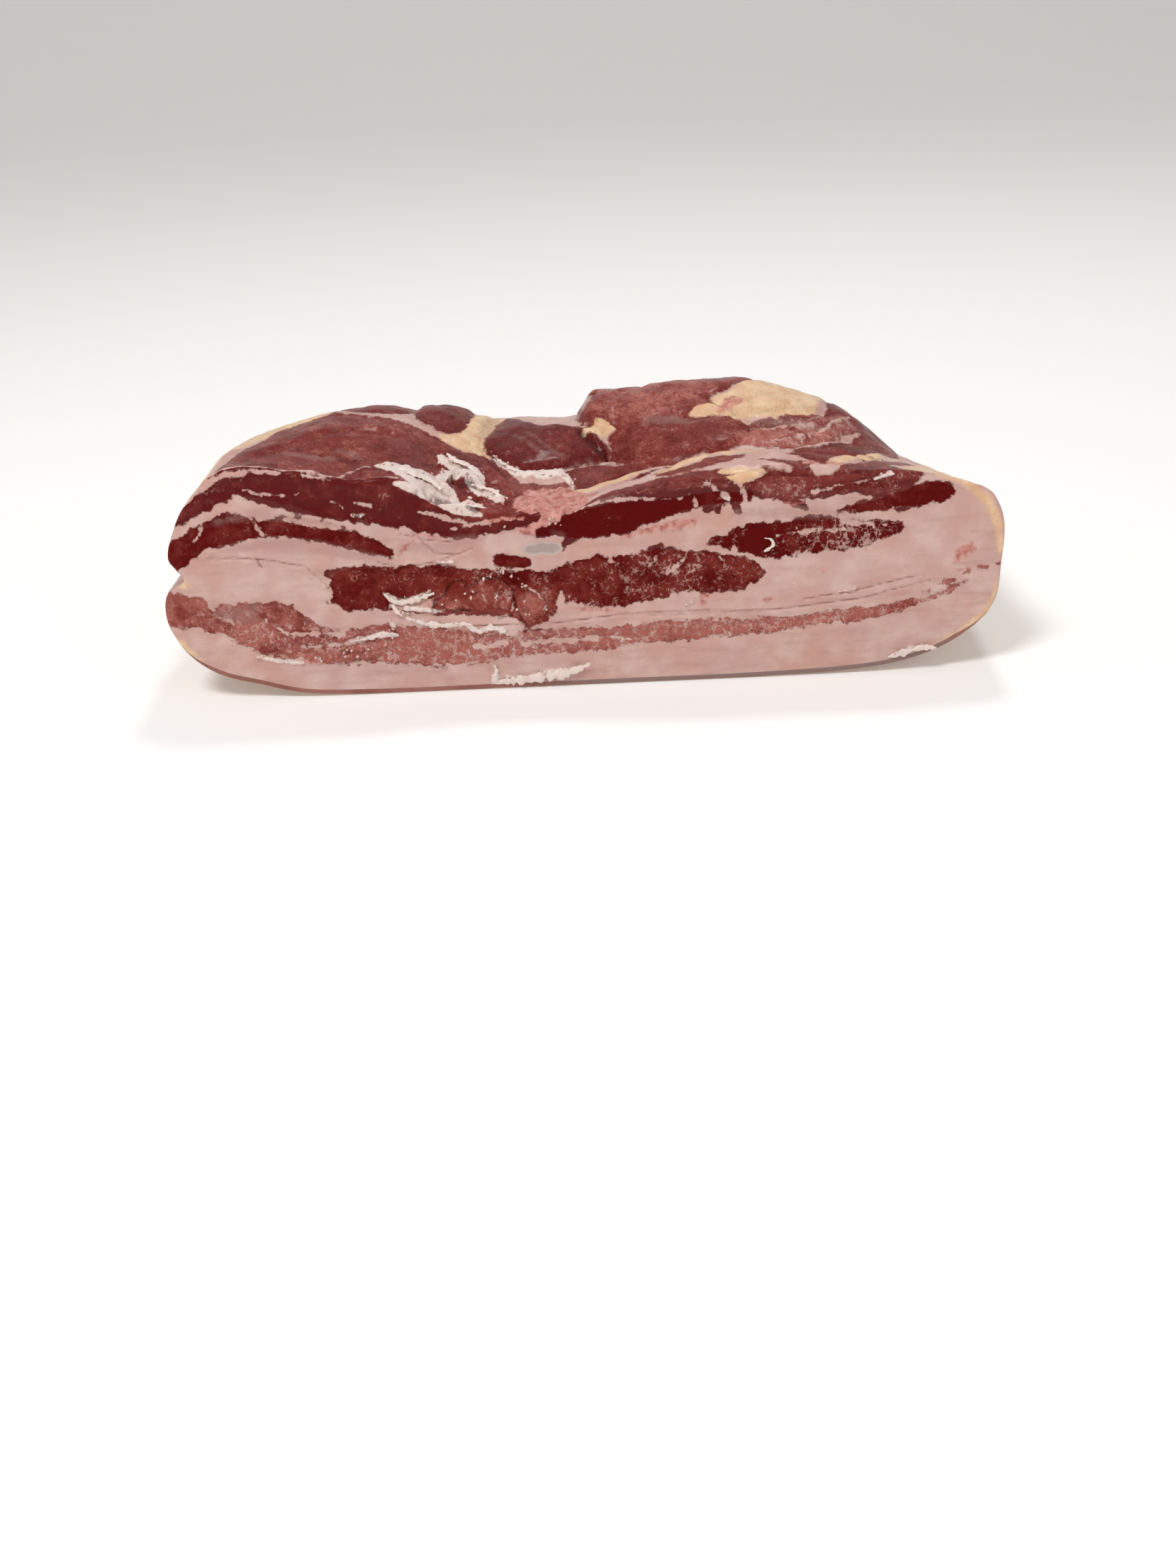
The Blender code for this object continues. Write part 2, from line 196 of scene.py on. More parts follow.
def inside(points, polygon, reachOut=8.0):
    # How far points of a plane lie inside a closed line; outside it is negative, to -reachOut.
    a = np.asarray(polygon, float)
    b = np.roll(a, -1, axis=0)
    edge = b - a
    rise = np.where(np.abs(edge[:, 1]) < 1e-9, 1e-9, edge[:, 1])
    result = np.full(len(points), -reachOut)
    near = np.flatnonzero(((points > a.min(0) - reachOut) & (points < a.max(0) + reachOut)).all(1))
    for some in np.array_split(near, max(1, len(near) // 4000)):
        p = points[some][:, None, :]
        share = np.clip(((p - a) * edge).sum(2) / np.maximum((edge**2).sum(1), 1e-9), 0, 1)
        distance = np.linalg.norm(p - a - share[:, :, None] * edge, axis=2).min(1)
        above = (a[:, 1] > p[:, :, 1]) != (b[:, 1] > p[:, :, 1])
        cross = p[:, :, 0] < edge[:, 0] * (p[:, :, 1] - a[:, 1]) / rise + a[:, 0]
        odd = (above & cross).sum(1) % 2
        result[some] = np.where(odd == 1, distance, np.maximum(-distance, -reachOut))
    return result


def strokes(points, lines):
    # How far points of a plane lie inside the broadest of some lines, given as (a, b, width) corners.
    best = np.full(len(points), -9.0)
    for line in lines:
        line = np.array(line, float)
        for a, b in zip(line, line[1:]):
            edge = b[:2] - a[:2]
            reach = np.clip(((points - a[:2]) @ edge) / max(edge @ edge, 1e-9), 0, 1)
            distance = np.linalg.norm(points - a[:2] - reach[:, None] * edge, axis=1)
            best = np.maximum(best, (a[2] + (b[2] - a[2]) * reach) / 2 - distance)
    return best


def smooth(low, high, value):
    u = np.clip((value - low) / (high - low), 0, 1)
    return u * u * (3 - 2 * u)


def meshObject(name, points, faces):
    # An object from points in millimetres.
    mesh = bpy.data.meshes.new(name)
    mesh.from_pydata((np.asarray(points) * 0.001).tolist(), [], [list(map(int, face)) for face in faces])
    mesh.validate()
    made = bpy.data.objects.new(name, mesh)
    bpy.context.scene.collection.objects.link(made)
    return made


def pointOutwards(piece):
    shape = bmesh.new()
    shape.from_mesh(piece.data)
    bmesh.ops.recalc_face_normals(shape, faces=shape.faces)
    shape.to_mesh(piece.data)
    shape.free()


def pointsOf(piece):
    flat = np.empty(len(piece.data.vertices) * 3, np.float32)
    piece.data.vertices.foreach_get("co", flat)
    return flat.reshape(-1, 3).astype(float) * 1000


def loft(name, rings, caps=True):
    # A mesh through rings of equal size; its two ends are closed.
    count = len(rings[0])
    around = np.arange(count)
    following = np.roll(around, -1)
    faces = []
    for s in range(len(rings) - 1):
        a, b = s * count, (s + 1) * count
        faces.extend(np.stack([a + around, a + following, b + following, b + around], 1).tolist())
    if caps:
        faces.append(list(range(count))[::-1])
        faces.append(list(range((len(rings) - 1) * count, len(rings) * count)))
    return meshObject(name, np.vstack(rings), faces)


def capOf(ring, spacing, seed):
    # Points spread inside a closed flat line, and triangles over the line and them together.
    low, high = ring.min(0), ring.max(0)
    rows = np.arange(low[1], high[1], spacing * 0.866)
    grid = [(x + (spacing / 2 if k % 2 else 0), z) for k, z in enumerate(rows)
            for x in np.arange(low[0], high[0], spacing)]
    grid = np.array(grid) + np.random.default_rng(seed).uniform(-0.18, 0.18, (len(grid), 2)) * spacing
    grid = grid[inside(grid, ring) > 0.55 * spacing]
    points = np.vstack([ring, grid])
    loop = list(range(len(ring)))
    result = delaunay_2d_cdt([Vector(p) for p in points], [], [loop], 1, 1e-4)
    origin = [source[0] if source else -1 for source in result[3]]
    return points, [[origin[i] for i in face] for face in result[2]]


# Muscles on the top: (outline in plan, tone from dark 0 to pale 1, how much it swells, how deep the
# groove round it is). The patches between them are outlines of yellow fat and of the raw pink place.
topMuscles = {
    "flank": ([(-118, -54), (-117, -46), (-112, -34), (-106, -19), (-100, -6), (-84, 7), (-61, 0),
               (-51, -4), (-42, -9), (-30, -11), (-25, -19), (-19, -30), (-22, -42), (-30, -54)],
              0.42, 0.0, 0.5),
    "backStrip": ([(-77, 10), (-66, 5), (-57, 10), (-56, 30), (-58, 55), (-86, 55), (-84, 24)],
                  0.34, 0.2, 0.3),
    "tongue": ([(-55, 6), (-47, 0), (-39, 6), (-36, 30), (-38, 55), (-56, 55), (-56, 30)], 0.32, 0.3, 0.6),
    "middle": ([(-32, -2), (-30, 12), (-25, 35), (-13, 12), (-4, 9), (4, 2), (10, -11), (8, -16), (-4, -16),
                (-16, -19), (-21, -19), (-28, -12)], 0.16, 1.2, 1.4),
    "ridge": ([(0, 11), (1, 30), (2, 55), (73, 55), (54, 14), (45, 4), (56, -9), (57, -16), (52, -24),
               (43, -27), (29, -27), (13, -16), (10, -4)], 0.62, 0.8, 1.2),
    "glistening": ([(-4, -18), (15, -20), (30, -28), (26, -40), (12, -38), (0, -33)], 0.36, 0.3, 0.6),
    "tornBit": ([(-40, -32), (-37, -24), (-31, -24), (-32, -32), (-37, -41)], 0.3, 0.8, 0.8),
    "tornLump": ([(-32, -38), (-28, -30), (-24, -34), (-26, -43)], 0.35, 0.8, 0.8),
    "loinSide": ([(67, -36), (80, -12), (84, 0), (88, 20), (96, 55), (117, 55), (110, 5), (103, -24),
                  (82, -43)], 0.38, 0.4, 0.6),
    "palePad": ([(55, -15), (72, -9), (91, 3), (92, -10), (71, -25), (55, -23)], 0.86, 0.4, 0.5),
    "crest": ([(4, -55), (8, -47), (30, -46), (60, -48), (80, -45), (100, -46), (109, -55)], 0.3, 0.0, 0.2),
}
topPatches = {
    "yellow": [
        [(-121, -49), (-119, -33), (-110, -22), (-103, -10), (-94, -1), (-84, 10), (-82, 30), (-82, 55),
         (-142, 55), (-142, -55)],
        [(-38, 24), (-24, 49), (-30, 14), (-32, 2), (-30, -11), (-37, -10), (-47, -5), (-41, 5)],
        [(2, -4), (1, 4), (9, 5), (11, -2)],
        [(37, -4), (45, 4), (55, 13), (74, 55), (90, 55), (81, 2), (58, -7)],
        [(100, -50), (112, -24), (118, -11), (122, 20), (124, 55), (142, 55), (142, -55), (104, -52)],
    ],
    "blush": [
        [(-29, -42), (-23, -34), (-14, -31), (-4, -31), (2, -49), (-14, -54), (-27, -50)],
    ],
}
# What lies on the top, as lines of (x, y, width): fat over muscle, torn white fat, pale film with painted
# sheen, yellow fat, raw pink, dark folds, cracks and holes with painted shade, and muscle that shows through.
topPaint = {
    "fat": [
        [(-122, -49.8, 3.6), (-112, -50.4, 3.6), (-102, -50.6, 2.8), (-97, -51, 1.3), (-88, -50.4, 1.4),
         (-84, -49.8, 2.2), (-80, -50.6, 1.1), (-75, -51, 1.2)],
        [(-70, -51, 1.0), (-62, -50.8, 1.6), (-58, -50, 2.4)],
        [(-76, -51, 0.7), (-73, -46, 0.9), (-70, -42.6, 0.8), (-66, -41.6, 0.5)],
        [(-86, 7, 2), (-78, 4.4, 5.5), (-68, 1.5, 6.5), (-58, -0.6, 5), (-50, -3.6, 3.5), (-44, -6, 2)],
        [(-62, 6, 1), (-56, 3, 1.6), (-49, 1, 1.2)],
        [(-3, -34, 2.8), (5, -37, 6.6), (15, -36, 7.0), (25, -33, 6.4), (34, -30, 6.0), (41, -27.6, 4)],
        [(20, -41, 1.0), (30, -37, 3.4), (44, -33, 4.4), (54, -31, 4.0)],
        [(70, -29, 1.5), (76, -25.5, 3), (84, -19, 3.5), (90, -12, 3), (94, -7, 1.5)],
        [(46, -31, 4), (54, -32.5, 7), (62, -34, 6), (69, -33.5, 3)],
        [(66, -36, 1), (70, -40, 3), (75, -46, 5), (77, -51, 4)],
        [(77, -51, 4), (82, -43, 6), (90, -34, 5), (97.5, -28, 5), (105, -25, 4)],
        [(50, -42, 2), (58, -45, 4), (66, -48, 3)],
        [(37.5, -4, 1), (42, -3, 5), (48, -2.5, 8), (54, -2.5, 9)],
        [(58, -17, 0.5), (66, -14.4, 1.2), (78, -9, 0.8)],
        [(64, -22, 0.5), (74, -17, 1.2), (86, -6, 1.0), (93, 4, 0.5)],
        [(45, -48, 3), (51, -48.5, 6), (57, -49.6, 4)], [(2, 12, 1.2), (3.6, 20, 3.2), (4, 30, 1.6)],
        [(2.5, 0, 3), (5, 0, 6), (9, -0.5, 6), (11.5, -1, 3)],
        [(-44, -6, 3), (-39, -3, 5), (-36, 6, 5), (-34, 18, 4), (-31, 32, 4)],
    ],
    "white": [
        [(-64, -40, 3), (-58, -42, 8), (-51, -44, 15), (-46, -46, 14), (-42.6, -49, 8)],
        [(-46, -40, 5), (-43, -34, 3)],
        [(-46, -20, 2), (-42.5, -24.5, 8), (-38.5, -26, 10), (-35, -29, 8), (-33, -34, 4)],
        [(-43.6, -32, 4), (-40, -30, 4)],
        [(-37, -30, 2), (-34.4, -37, 3.4), (-31, -40, 8), (-27, -42, 7), (-25.6, -45, 3)],
        [(-29, -10.5, 0.8), (-27, -15, 2.6), (-23, -19.6, 3.6), (-20, -22, 3.6)],
        [(-22, -20, 1.8), (-18, -22.4, 4.4), (-13, -21.8, 6.4), (-8, -20.6, 6), (-5, -22.4, 3.4),
         (-3.2, -27, 2), (-2, -30, 1)],
        [(-43, -46, 5), (-39.6, -49, 7), (-35.6, -50.5, 6), (-31, -51.5, 4)],
    ],
    # Pale film on the muscle: partly a real membrane, partly painted sheen on the moist top.
    "film": [
        [(-98, -33, 1.0), (-92, -35, 3.4), (-86, -37, 3.8), (-81, -37.5, 3.2), (-78, -36, 1.4)],
        [(-78, -31, 1.6), (-74, -31.6, 2.6), (-71, -34, 2.0), (-69.6, -38, 0.8)],
        [(57, -10, 2.6), (66, -10.4, 4.6), (75, -9.5, 3.6), (81, -9, 1.6)], [(-82, 4.6, 3), (-70, 2, 4)],
        [(24, -5, 4), (36, -8, 6), (46, -8.6, 3)], [(-118, -46, 2), (-112, -45, 3), (-104, -45.6, 2)],
        [(-4, -13, 1.0), (-10, -8, 1.6), (-17, 2, 1.2)], [(-8, -15, 0.8), (-15, -8, 1.4), (-22, 2, 1.0)],
    ],
    "yellow": [
        [(-46.4, -43.4, 2.6), (-43.6, -44, 3.4)],
        [(-3, -33.6, 1.6), (4, -37.4, 4.6), (14, -36.6, 5.0), (21, -35.4, 2.6)],
        [(24, -33, 2.6), (30, -31, 4.6), (37, -29, 3.4)],
        [(25, -41, 2), (33, -37, 4), (41, -34, 4), (53, -31.5, 5), (69, -33, 3)],
        [(80, -45, 3), (88, -36, 4), (97.5, -28, 4)],
        [(37.5, -4, 2), (42, -3, 6), (48, -2.5, 9), (54, -2.5, 10)],
        [(44, -49, 2.6), (50, -50, 5.4), (58, -50.6, 3)], [(-118, -52, 3), (-121, -47, 3)],
        [(-44, -6, 4), (-39, -3, 6), (-36, 6, 6), (-34, 18, 5), (-31, 32, 5)],
        [(2.5, 0, 3), (5, 0, 6), (9, -0.5, 6), (11.5, -1, 3)],
    ],
    "blush": [
        [(48, -4, 3), (53, 0, 7)], [(54, -20, 4), (60, -19, 6), (68, -17, 4)],
        [(68, -14, 3), (76, -14, 4), (84, -11, 3)], [(64, -46, 2), (72, -44, 4), (84, -45, 3)],
        [(30, -45, 3), (38, -46, 3)], [(-4, -40, 3), (4, -44, 3)],
        [(-24, -29, 3), (-14, -30, 4), (-8, -32, 3)],
    ],
    # Painted shade: dark strokes laid into the folds, cracks and holes of the top.
    "dark": [
        [(-48, -50.6, 1.6), (-45.4, -50, 4.2), (-42, -48.6, 2.0)],
        [(-40.6, -35.4, 3.4), (-36.4, -34.6, 5.4), (-33.6, -35.6, 2.6)],
        [(-36.4, -46, 3.4), (-34, -45.6, 3)],
        [(-38.6, -10.4, 0.4), (-31, -12.4, 0.9), (-27, -19, 1.3), (-23.6, -26, 0.8)],
        [(-1, 5, 0.8), (2.6, -4, 1.8), (7, -12, 2.6), (10.4, -14.4, 1.6)],
        [(5.6, 12, 1.0), (7, 22, 1.6), (6.4, 34, 0.8)],
        [(-3, -17.2, 0.9), (8, -17.8, 1.1), (17, -18.4, 0.7)],
        [(-3, -30.8, 0.7), (8, -31.2, 0.9), (24, -30, 0.7)],
        [(58, -50.6, 0.6), (72, -51, 1.0), (96, -50.8, 0.7)], [(-77.8, 2, 0.8), (-76, 2.6, 1.3)],
        [(-70.8, -2.4, 1.3), (-70, -2.4, 1.3)], [(-85.4, -33, 0.4), (-82, -36, 0.7)],
        [(-73, -33.6, 0.4), (-70.4, -38.6, 0.8)], [(36, -7, 0.6), (46, -10, 0.9), (60, -8, 0.6)],
        [(-8, -33, 0.6), (-12, -36, 0.9)], [(84, -28, 0.8), (96, -30, 0.8)],
    ],
    "lean": [
        [(-30, -27.4, 3), (-22, -30, 5), (-12, -30, 4), (-6, -29, 4)],
        [(74, -31, 3), (82, -31, 4), (90, -30.6, 3)],
        [(58, -11.5, 4), (66, -9, 4), (76, -3.6, 4), (83, 1, 3)],
        [(26, -43, 3), (36, -42, 5), (46, -40, 6), (52, -37.5, 3)], [(55, -43, 2), (62, -43.6, 2.4)],
        [(84, -49, 6), (94, -42, 8), (102, -36, 8), (108, -31, 5)],
        [(64, -44, 3), (76, -47, 6), (90, -46, 5), (100, -46, 3)], [(-36, -38, 3), (-30, -34, 2)],
        [(-60, 14, 6), (-60, 50, 8)], [(8, -7, 4), (10.5, -12, 4.5), (12, -15, 3)],
        [(2, 7, 2), (4, 14, 3), (5, 24, 3)],
    ],
}
# Where muscle on the top is redder and darker (below 0) or paler: (x, y, half widths, tone).
topSpots = [
    (42, -18, 13, 6, -0.34), (18, -12, 14, 6, -0.12), (26, 20, 16, 12, 0.2), (8, -10, 7, 6, -0.25),
    (-100, -34, 9, 8, -0.1), (-70, -10, 22, 6, 0.12), (-54, -28, 12, 8, -0.14), (-38, -16, 12, 4, -0.2),
    (-60, -42, 10, 4, -0.12), (90, -22, 9, 7, -0.2), (60, -19, 8, 4, 0.3), (-24, 4, 8, 8, -0.1),
    (-4, -4, 6, 10, 0.1), (-20, -32, 10, 5, 0.1), (36, -12, 10, 4, -0.2), (66, -12, 8, 3, -0.4),
    (86, -4, 6, 6, -0.2), (104, 20, 10, 24, -0.1), (50, 34, 12, 14, -0.14),
]
# Folds of the top: (x, y, width) along each, and how deep it is pressed in.
topFolds = [
    (1.6, [(37, -5, 2), (58, -8, 3), (84, 3, 2)]),
    (1.2, [(41, -50, 2), (63, -51, 3), (81, -50, 2)]),
    (1.8, [(-46, -49, 5), (-40, -47, 5)]),
    (1.0, [(-104, -36, 2), (-84, -20, 3), (-62, -14, 2)]),
    (0.8, [(6, 8, 2), (22, 26, 3), (30, 48, 2)]),
    (1.3, [(-2, -31.5, 1), (10, -32, 2), (40, -27, 1)]),
    (1.0, [(62, -19, 1), (76, -20, 2), (92, -12, 1)]),
    (1.0, [(60, -31, 1), (76, -33, 2), (96, -33, 1)]),
]

# Muscle layers on the front cut: (x, height of the middle, thickness) from one tip to the other.
# drift is what the layer gains by the back cut: along x, upwards at its two tips, and as a share
# of its thickness. Where it gains along -x, it stays in line and only ends earlier.
layers = {
    "lean_flank_top": {
        "spine": [(-134, 66, 14), (-126, 70, 17), (-116, 76, 18), (-107, 80, 20), (-95, 79, 24),
                  (-82, 75, 26), (-68, 73, 28), (-56, 72, 30), (-46, 69, 29), (-38, 66, 27),
                  (-29, 62, 16), (-21, 60.5, 11), (-13, 60, 5)],
        "drift": (-48, 0, 0, -0.1), "roughness": 0.5,
    },
    "lean_belly_edge": {
        "spine": [(-140, 46, 9), (-133, 49, 11), (-127, 53, 9), (-120, 57, 9), (-112, 59, 10),
                  (-103, 59, 6), (-94, 59, 6.5), (-84, 57, 7), (-74, 54, 6.5), (-67, 51, 5),
                  (-60, 48, 2.5)],
        "drift": (0, 2.5, 1, 0.15), "roughness": 0.45,
    },
    "lean_rib_sliver": {
        "spine": [(-29, 44.6, 2.4), (-26, 44.7, 4.2), (-21, 44.1, 4.2), (-17, 43.4, 2.2)],
        "drift": (0, -2.5, -2.5, -0.2), "roughness": 0.2,
    },
    "lean_main": {
        "spine": [(-83, 37, 9), (-76, 37, 14), (-65, 37, 14), (-50, 36, 16), (-38, 35.5, 14.5),
                  (-29, 34.5, 14), (-20, 32.3, 17.5), (-13, 32, 17), (-7, 35.5, 12), (2, 36, 16),
                  (12, 36, 17), (22, 37.5, 17), (32, 38, 14), (42, 37.5, 13), (52, 37, 9),
                  (58, 37, 4)],
        "drift": (6, -1, -5, 0.0), "roughness": 0.8,
    },
    "lean_loin_band": {
        "spine": [(40, 47.5, 2), (47, 48, 6), (54, 48, 10), (63, 47.5, 12), (74, 48.5, 12.5),
                  (86, 48.5, 10), (95, 49, 7), (103, 50, 3)],
        "drift": (-10, -2, -8, -0.1), "roughness": 0.5,
    },
    "lean_shoulder": {
        "spine": [(82, 56, 1.6), (91, 57.2, 3), (100, 58.7, 5), (108, 60.4, 7), (114, 60.8, 6.4),
                  (119, 61, 3)],
        "drift": (-4, -5, 0.5, -0.2), "roughness": 0.1,
    },
    "lean_upper": {
        "spine": [(-15, 53.2, 1.8), (-9, 54.4, 4.8), (-3, 55.3, 8.2), (6, 56.3, 10), (15, 57.2, 9.6),
                  (24, 59, 7.4), (33, 61, 4.5), (44, 62.3, 4), (55, 62.5, 3)],
        "drift": (2, -4, -11, -0.2), "roughness": 0.3,
    },
    "lean_crest": {
        "spine": [(6, 64.2, 3.4), (14, 66.6, 3.8), (24, 68.4, 3.4), (34, 70, 3.8), (46, 70.2, 6.2),
                  (58, 69.2, 8.6), (72, 68.5, 10), (86, 67.8, 9.6), (98, 67, 6.8), (108, 67, 4)],
        "drift": (-16, -13, -6, -0.25), "roughness": 0.2,
    },
    "lean_skin_muscle": {
        "spine": [(-141, 34, 8), (-133, 32.7, 12), (-126, 31.5, 11), (-119, 29, 11), (-112, 26.5, 15),
                  (-104, 24.5, 18.5), (-97, 23.5, 20), (-90, 20.5, 15), (-84, 18, 13), (-73, 17.5, 13),
                  (-60, 17.3, 14.4), (-50, 16.2, 14), (-40, 15.6, 12.6), (-30, 15.7, 10.5),
                  (-22, 15.8, 5)],
        "drift": (0, -1, 1, -0.1), "roughness": 0.7,
    },
    "lean_skin_ribbon": {
        "spine": [(-18.5, 15, 3.6), (-12, 15.3, 6.8), (-2, 15.5, 6.4), (10, 16, 5.8), (25, 17, 5.2),
                  (40, 17.5, 5), (60, 18.4, 5), (80, 20, 4.6), (94, 21.4, 3.6), (106, 24, 2.4),
                  (116, 27, 2.2), (124, 31, 1.6)],
        "drift": (3, 1, 1, 0.1), "roughness": 0.25,
    },
    "rib_cartilage": {
        "spine": [(-19.4, 47.8, 2), (-17, 48.1, 4), (-12.8, 48.2, 4.6), (-8.6, 48, 4), (-6.2, 47.7, 2)],
        "drift": (0, -3.5, -3.5, 0.0), "roughness": 0.0,
    },
}
layerMaking = {
    "cornerStep": 0.85, "stationStep": 10.4, "overrun": 2.0, "closing": 24.0,
    "coarseWiggle": (3.4, 0.85), "fineWiggle": (1.3, 0.35),   # size of the waves and how far they reach
}
# Muscles that lie in the top: their place in topMuscles, and their depth at front and back.
topMuscleNodes = {
    "lean_tongue": ("tongue", 4, 8),
    "lean_middle": ("middle", 5, 7),
    "lean_ridge": ("ridge", 1.5, 6.5),
}
# Layers that give way where they would run into another one.
keptClear = {
    "lean_upper": ["lean_main", "lean_flank_top"],
    "rib_cartilage": ["lean_upper"],
    "lean_tongue": ["lean_flank_top"],
    "lean_middle": ["lean_flank_top", "lean_crest", "lean_upper"],
    "lean_ridge": ["lean_middle", "lean_crest", "lean_upper"],
    "lean_crest": ["lean_upper", "lean_shoulder"],
}
# The rind: how far up the ends it reaches, and how long it takes to thin out there.
rindMaking = {"thickness": 2.0, "upTo": 23.0, "taper": 16.0, "step": 2.0}


def topRelief(x, y):
    # The fine form of the top, over topHeight: soft lumps, muscles that swell, grooves and folds.
    place = np.stack([x, y, np.full(len(x), 7.0)], 1)
    ends = np.sin(np.pi * (np.clip(y, -half, half) + half) / slab["depth"])
    relief = slab["lumpSize"] * ends * lumps(place, 17.0)
    relief += 0.45 * lumps(place, 6.5, 1) + 0.22 * lumps(place, 2.6, 2)
    flat = place[:, :2]
    for outline, tone, swell, groove in topMuscles.values():
        depth = inside(flat, closedCurve(outline, 4))
        relief += swell * (1 - np.exp(-np.maximum(depth, 0) / 4.5)) - groove * np.exp(-(depth / 1.5) ** 2)
    for deep, line in topFolds:
        relief -= deep * np.exp(-(np.minimum(strokes(flat, [line]), 0) / 1.3) ** 2)
    jagged = 1.4 * lumps(place, 2.4, 15)
    torn = smooth(-1.5, 2.0, patchDepth("blush", flat))
    white = smooth(-0.3, 0.5, strokes(flat, topPaint["white"]) + jagged)
    relief += torn * (1.1 * lumps(place, 3.4, 3) + 0.5 * lumps(place, 1.5, 4))
    relief += white * (0.9 + 1.1 * lumps(place, 2.4, 5)) * np.clip(ends * 8, 0, 1)
    relief += 0.5 * smooth(-0.4, 0.6, strokes(flat, topPaint["fat"]) + 0.6 * jagged)
    relief -= 1.3 * smooth(-0.7, 0.5, strokes(flat, topPaint["dark"]))
    return relief


def patchDepth(kind, flat):
    return np.max([inside(flat, closedCurve(outline, 4)) for outline in topPatches[kind]], 0)


def layerRing(layer, y):
    # The outline of a muscle layer at depth y, carried there, with the small waves of its border.
    spine = layer["spine"]
    across, upLeft, upRight, swell = layer["drift"]
    share = (np.clip(y, -half, half) + half) / slab["depth"]
    start, end = spine[0][0], spine[-1][0]
    count = round((end - start) / layerMaking["cornerStep"])
    last = end + min(across, 0.0) * share
    u = np.arange(count + 1) / count
    x = start + (last - start) * u
    middle, thick = along(spine, x)
    thickHalf = thick / 2 * (1 + swell * share)
    if across < 0:
        closed = 1 - np.sqrt(np.clip((last - x + 2.0) / layerMaking["closing"], 0.0, 1.0))
        thickHalf *= 1 - closed * min(4 * share, 1.0)
    tip = np.clip(np.minimum(x - start, last - x) / np.maximum(thickHalf, 1.0), 0, 1)
    thickHalf = thickHalf * np.sqrt(1 - (1 - tip) ** 2)
    middle = middle + (upLeft + (upRight - upLeft) * u) * share
    bend = np.stack([x, np.full(len(x), float(y)), thick], 1)
    middle = middle + layer["roughness"] * 2 * share * (1 - share) * lumps(bend, 11.0)
    x = x + max(across, 0.0) * share
    ringX = np.concatenate([x, x[-2:0:-1]])
    ringZ = np.concatenate([middle + thickHalf, (middle - thickHalf)[-2:0:-1]])
    ring = carry(ringX, ringZ, y)
    way = np.roll(ring, -1, 0) - np.roll(ring, 1, 0)
    outward = np.stack([-way[:, 2], np.zeros(len(way)), way[:, 0]], 1)
    outward /= np.maximum(np.linalg.norm(outward, axis=1), 1e-6)[:, None]
    place = ring * (1, 0.35, 1)
    reach = np.minimum(np.concatenate([thickHalf, thickHalf[-2:0:-1]]) * 0.4, 1.0)
    for (size, amount), seed in ((layerMaking["coarseWiggle"], 11), (layerMaking["fineWiggle"], 12)):
        ring = ring + outward * (amount * reach * lumps(place, size, seed))[:, None]
    return ring


def layerBlank(name, layer):
    # The layer from a little before the front cut to a little behind the back cut.
    stations = np.linspace(-half, half, round(slab["depth"] / layerMaking["stationStep"]) + 1)
    rings = [layerRing(layer, y) for y in stations]
    over = np.array([0, layerMaking["overrun"], 0])
    return loft(name, [rings[0] - over] + rings + [rings[-1] + over])


def topMuscleBlank(name, outline, front, back):
    # A muscle that lies in the top: its outline in plan, and a floor that dips under it.
    ring = respaced(closedCurve(outline), lambda middles: np.full(len(middles), 1.2))
    ring = ring + 0.7 * np.stack([lumps(np.c_[ring, ring[:, :1] * 0], 3.0, s) for s in (13, 14)], 1)
    flat, triangles = capOf(ring, 3.0, 5)
    surface = topHeight(flat[:, 0], np.clip(flat[:, 1], -half, half))
    share = np.clip((flat[:, 1] + half) / slab["depth"], 0, 1)
    deep = (front + (back - front) * share) * np.sqrt(np.clip(inside(flat, ring) / 12.0, 0, 1))
    floor = np.c_[flat, surface - 1.6 - deep]
    lid = np.c_[flat, surface + 6.0]
    count, around = len(flat), np.arange(len(ring))
    following = np.roll(around, -1)
    faces = [face[::-1] for face in triangles] + [[i + count for i in face] for face in triangles]
    faces += np.stack([around, following, following + count, around + count], 1).tolist()
    made = meshObject(name, np.vstack([floor, lid]), faces)
    pointOutwards(made)
    return made


def rindBlank(outline):
    # The skin: a thin layer under the slab that runs a little way up both ends.
    n = len(outline)
    way = np.roll(outline, -1, 0) - np.roll(outline, 1, 0)
    outward = np.stack([-way[:, 1], way[:, 0]], 1) / np.linalg.norm(way, axis=1)[:, None]
    low = outline[:, 1] < rindMaking["upTo"]
    first = next(i for i in range(n) if low[i] and not low[i - 1])
    order = [(first + k) % n for k in range(low.sum())]
    line, outward = outline[order], outward[order]
    lengths = np.concatenate([[0], np.cumsum(np.linalg.norm(np.diff(line, axis=0), axis=1))])
    toTip = np.minimum(lengths, lengths[-1] - lengths)
    thick = rindMaking["thickness"] * np.clip(toTip / rindMaking["taper"], 0.02, 1)
    inner = line - outward * thick[:, None]
    polygon = np.vstack([line + outward * 4.0, inner[::-1]])
    stations = np.linspace(-half, half, 14)
    rings = [carry(polygon[:, 0], polygon[:, 1], y) for y in stations]
    over = np.array([0, layerMaking["overrun"], 0])
    made = loft("rind_blank", [rings[0] - over] + rings + [rings[-1] + over])
    pointOutwards(made)
    return made


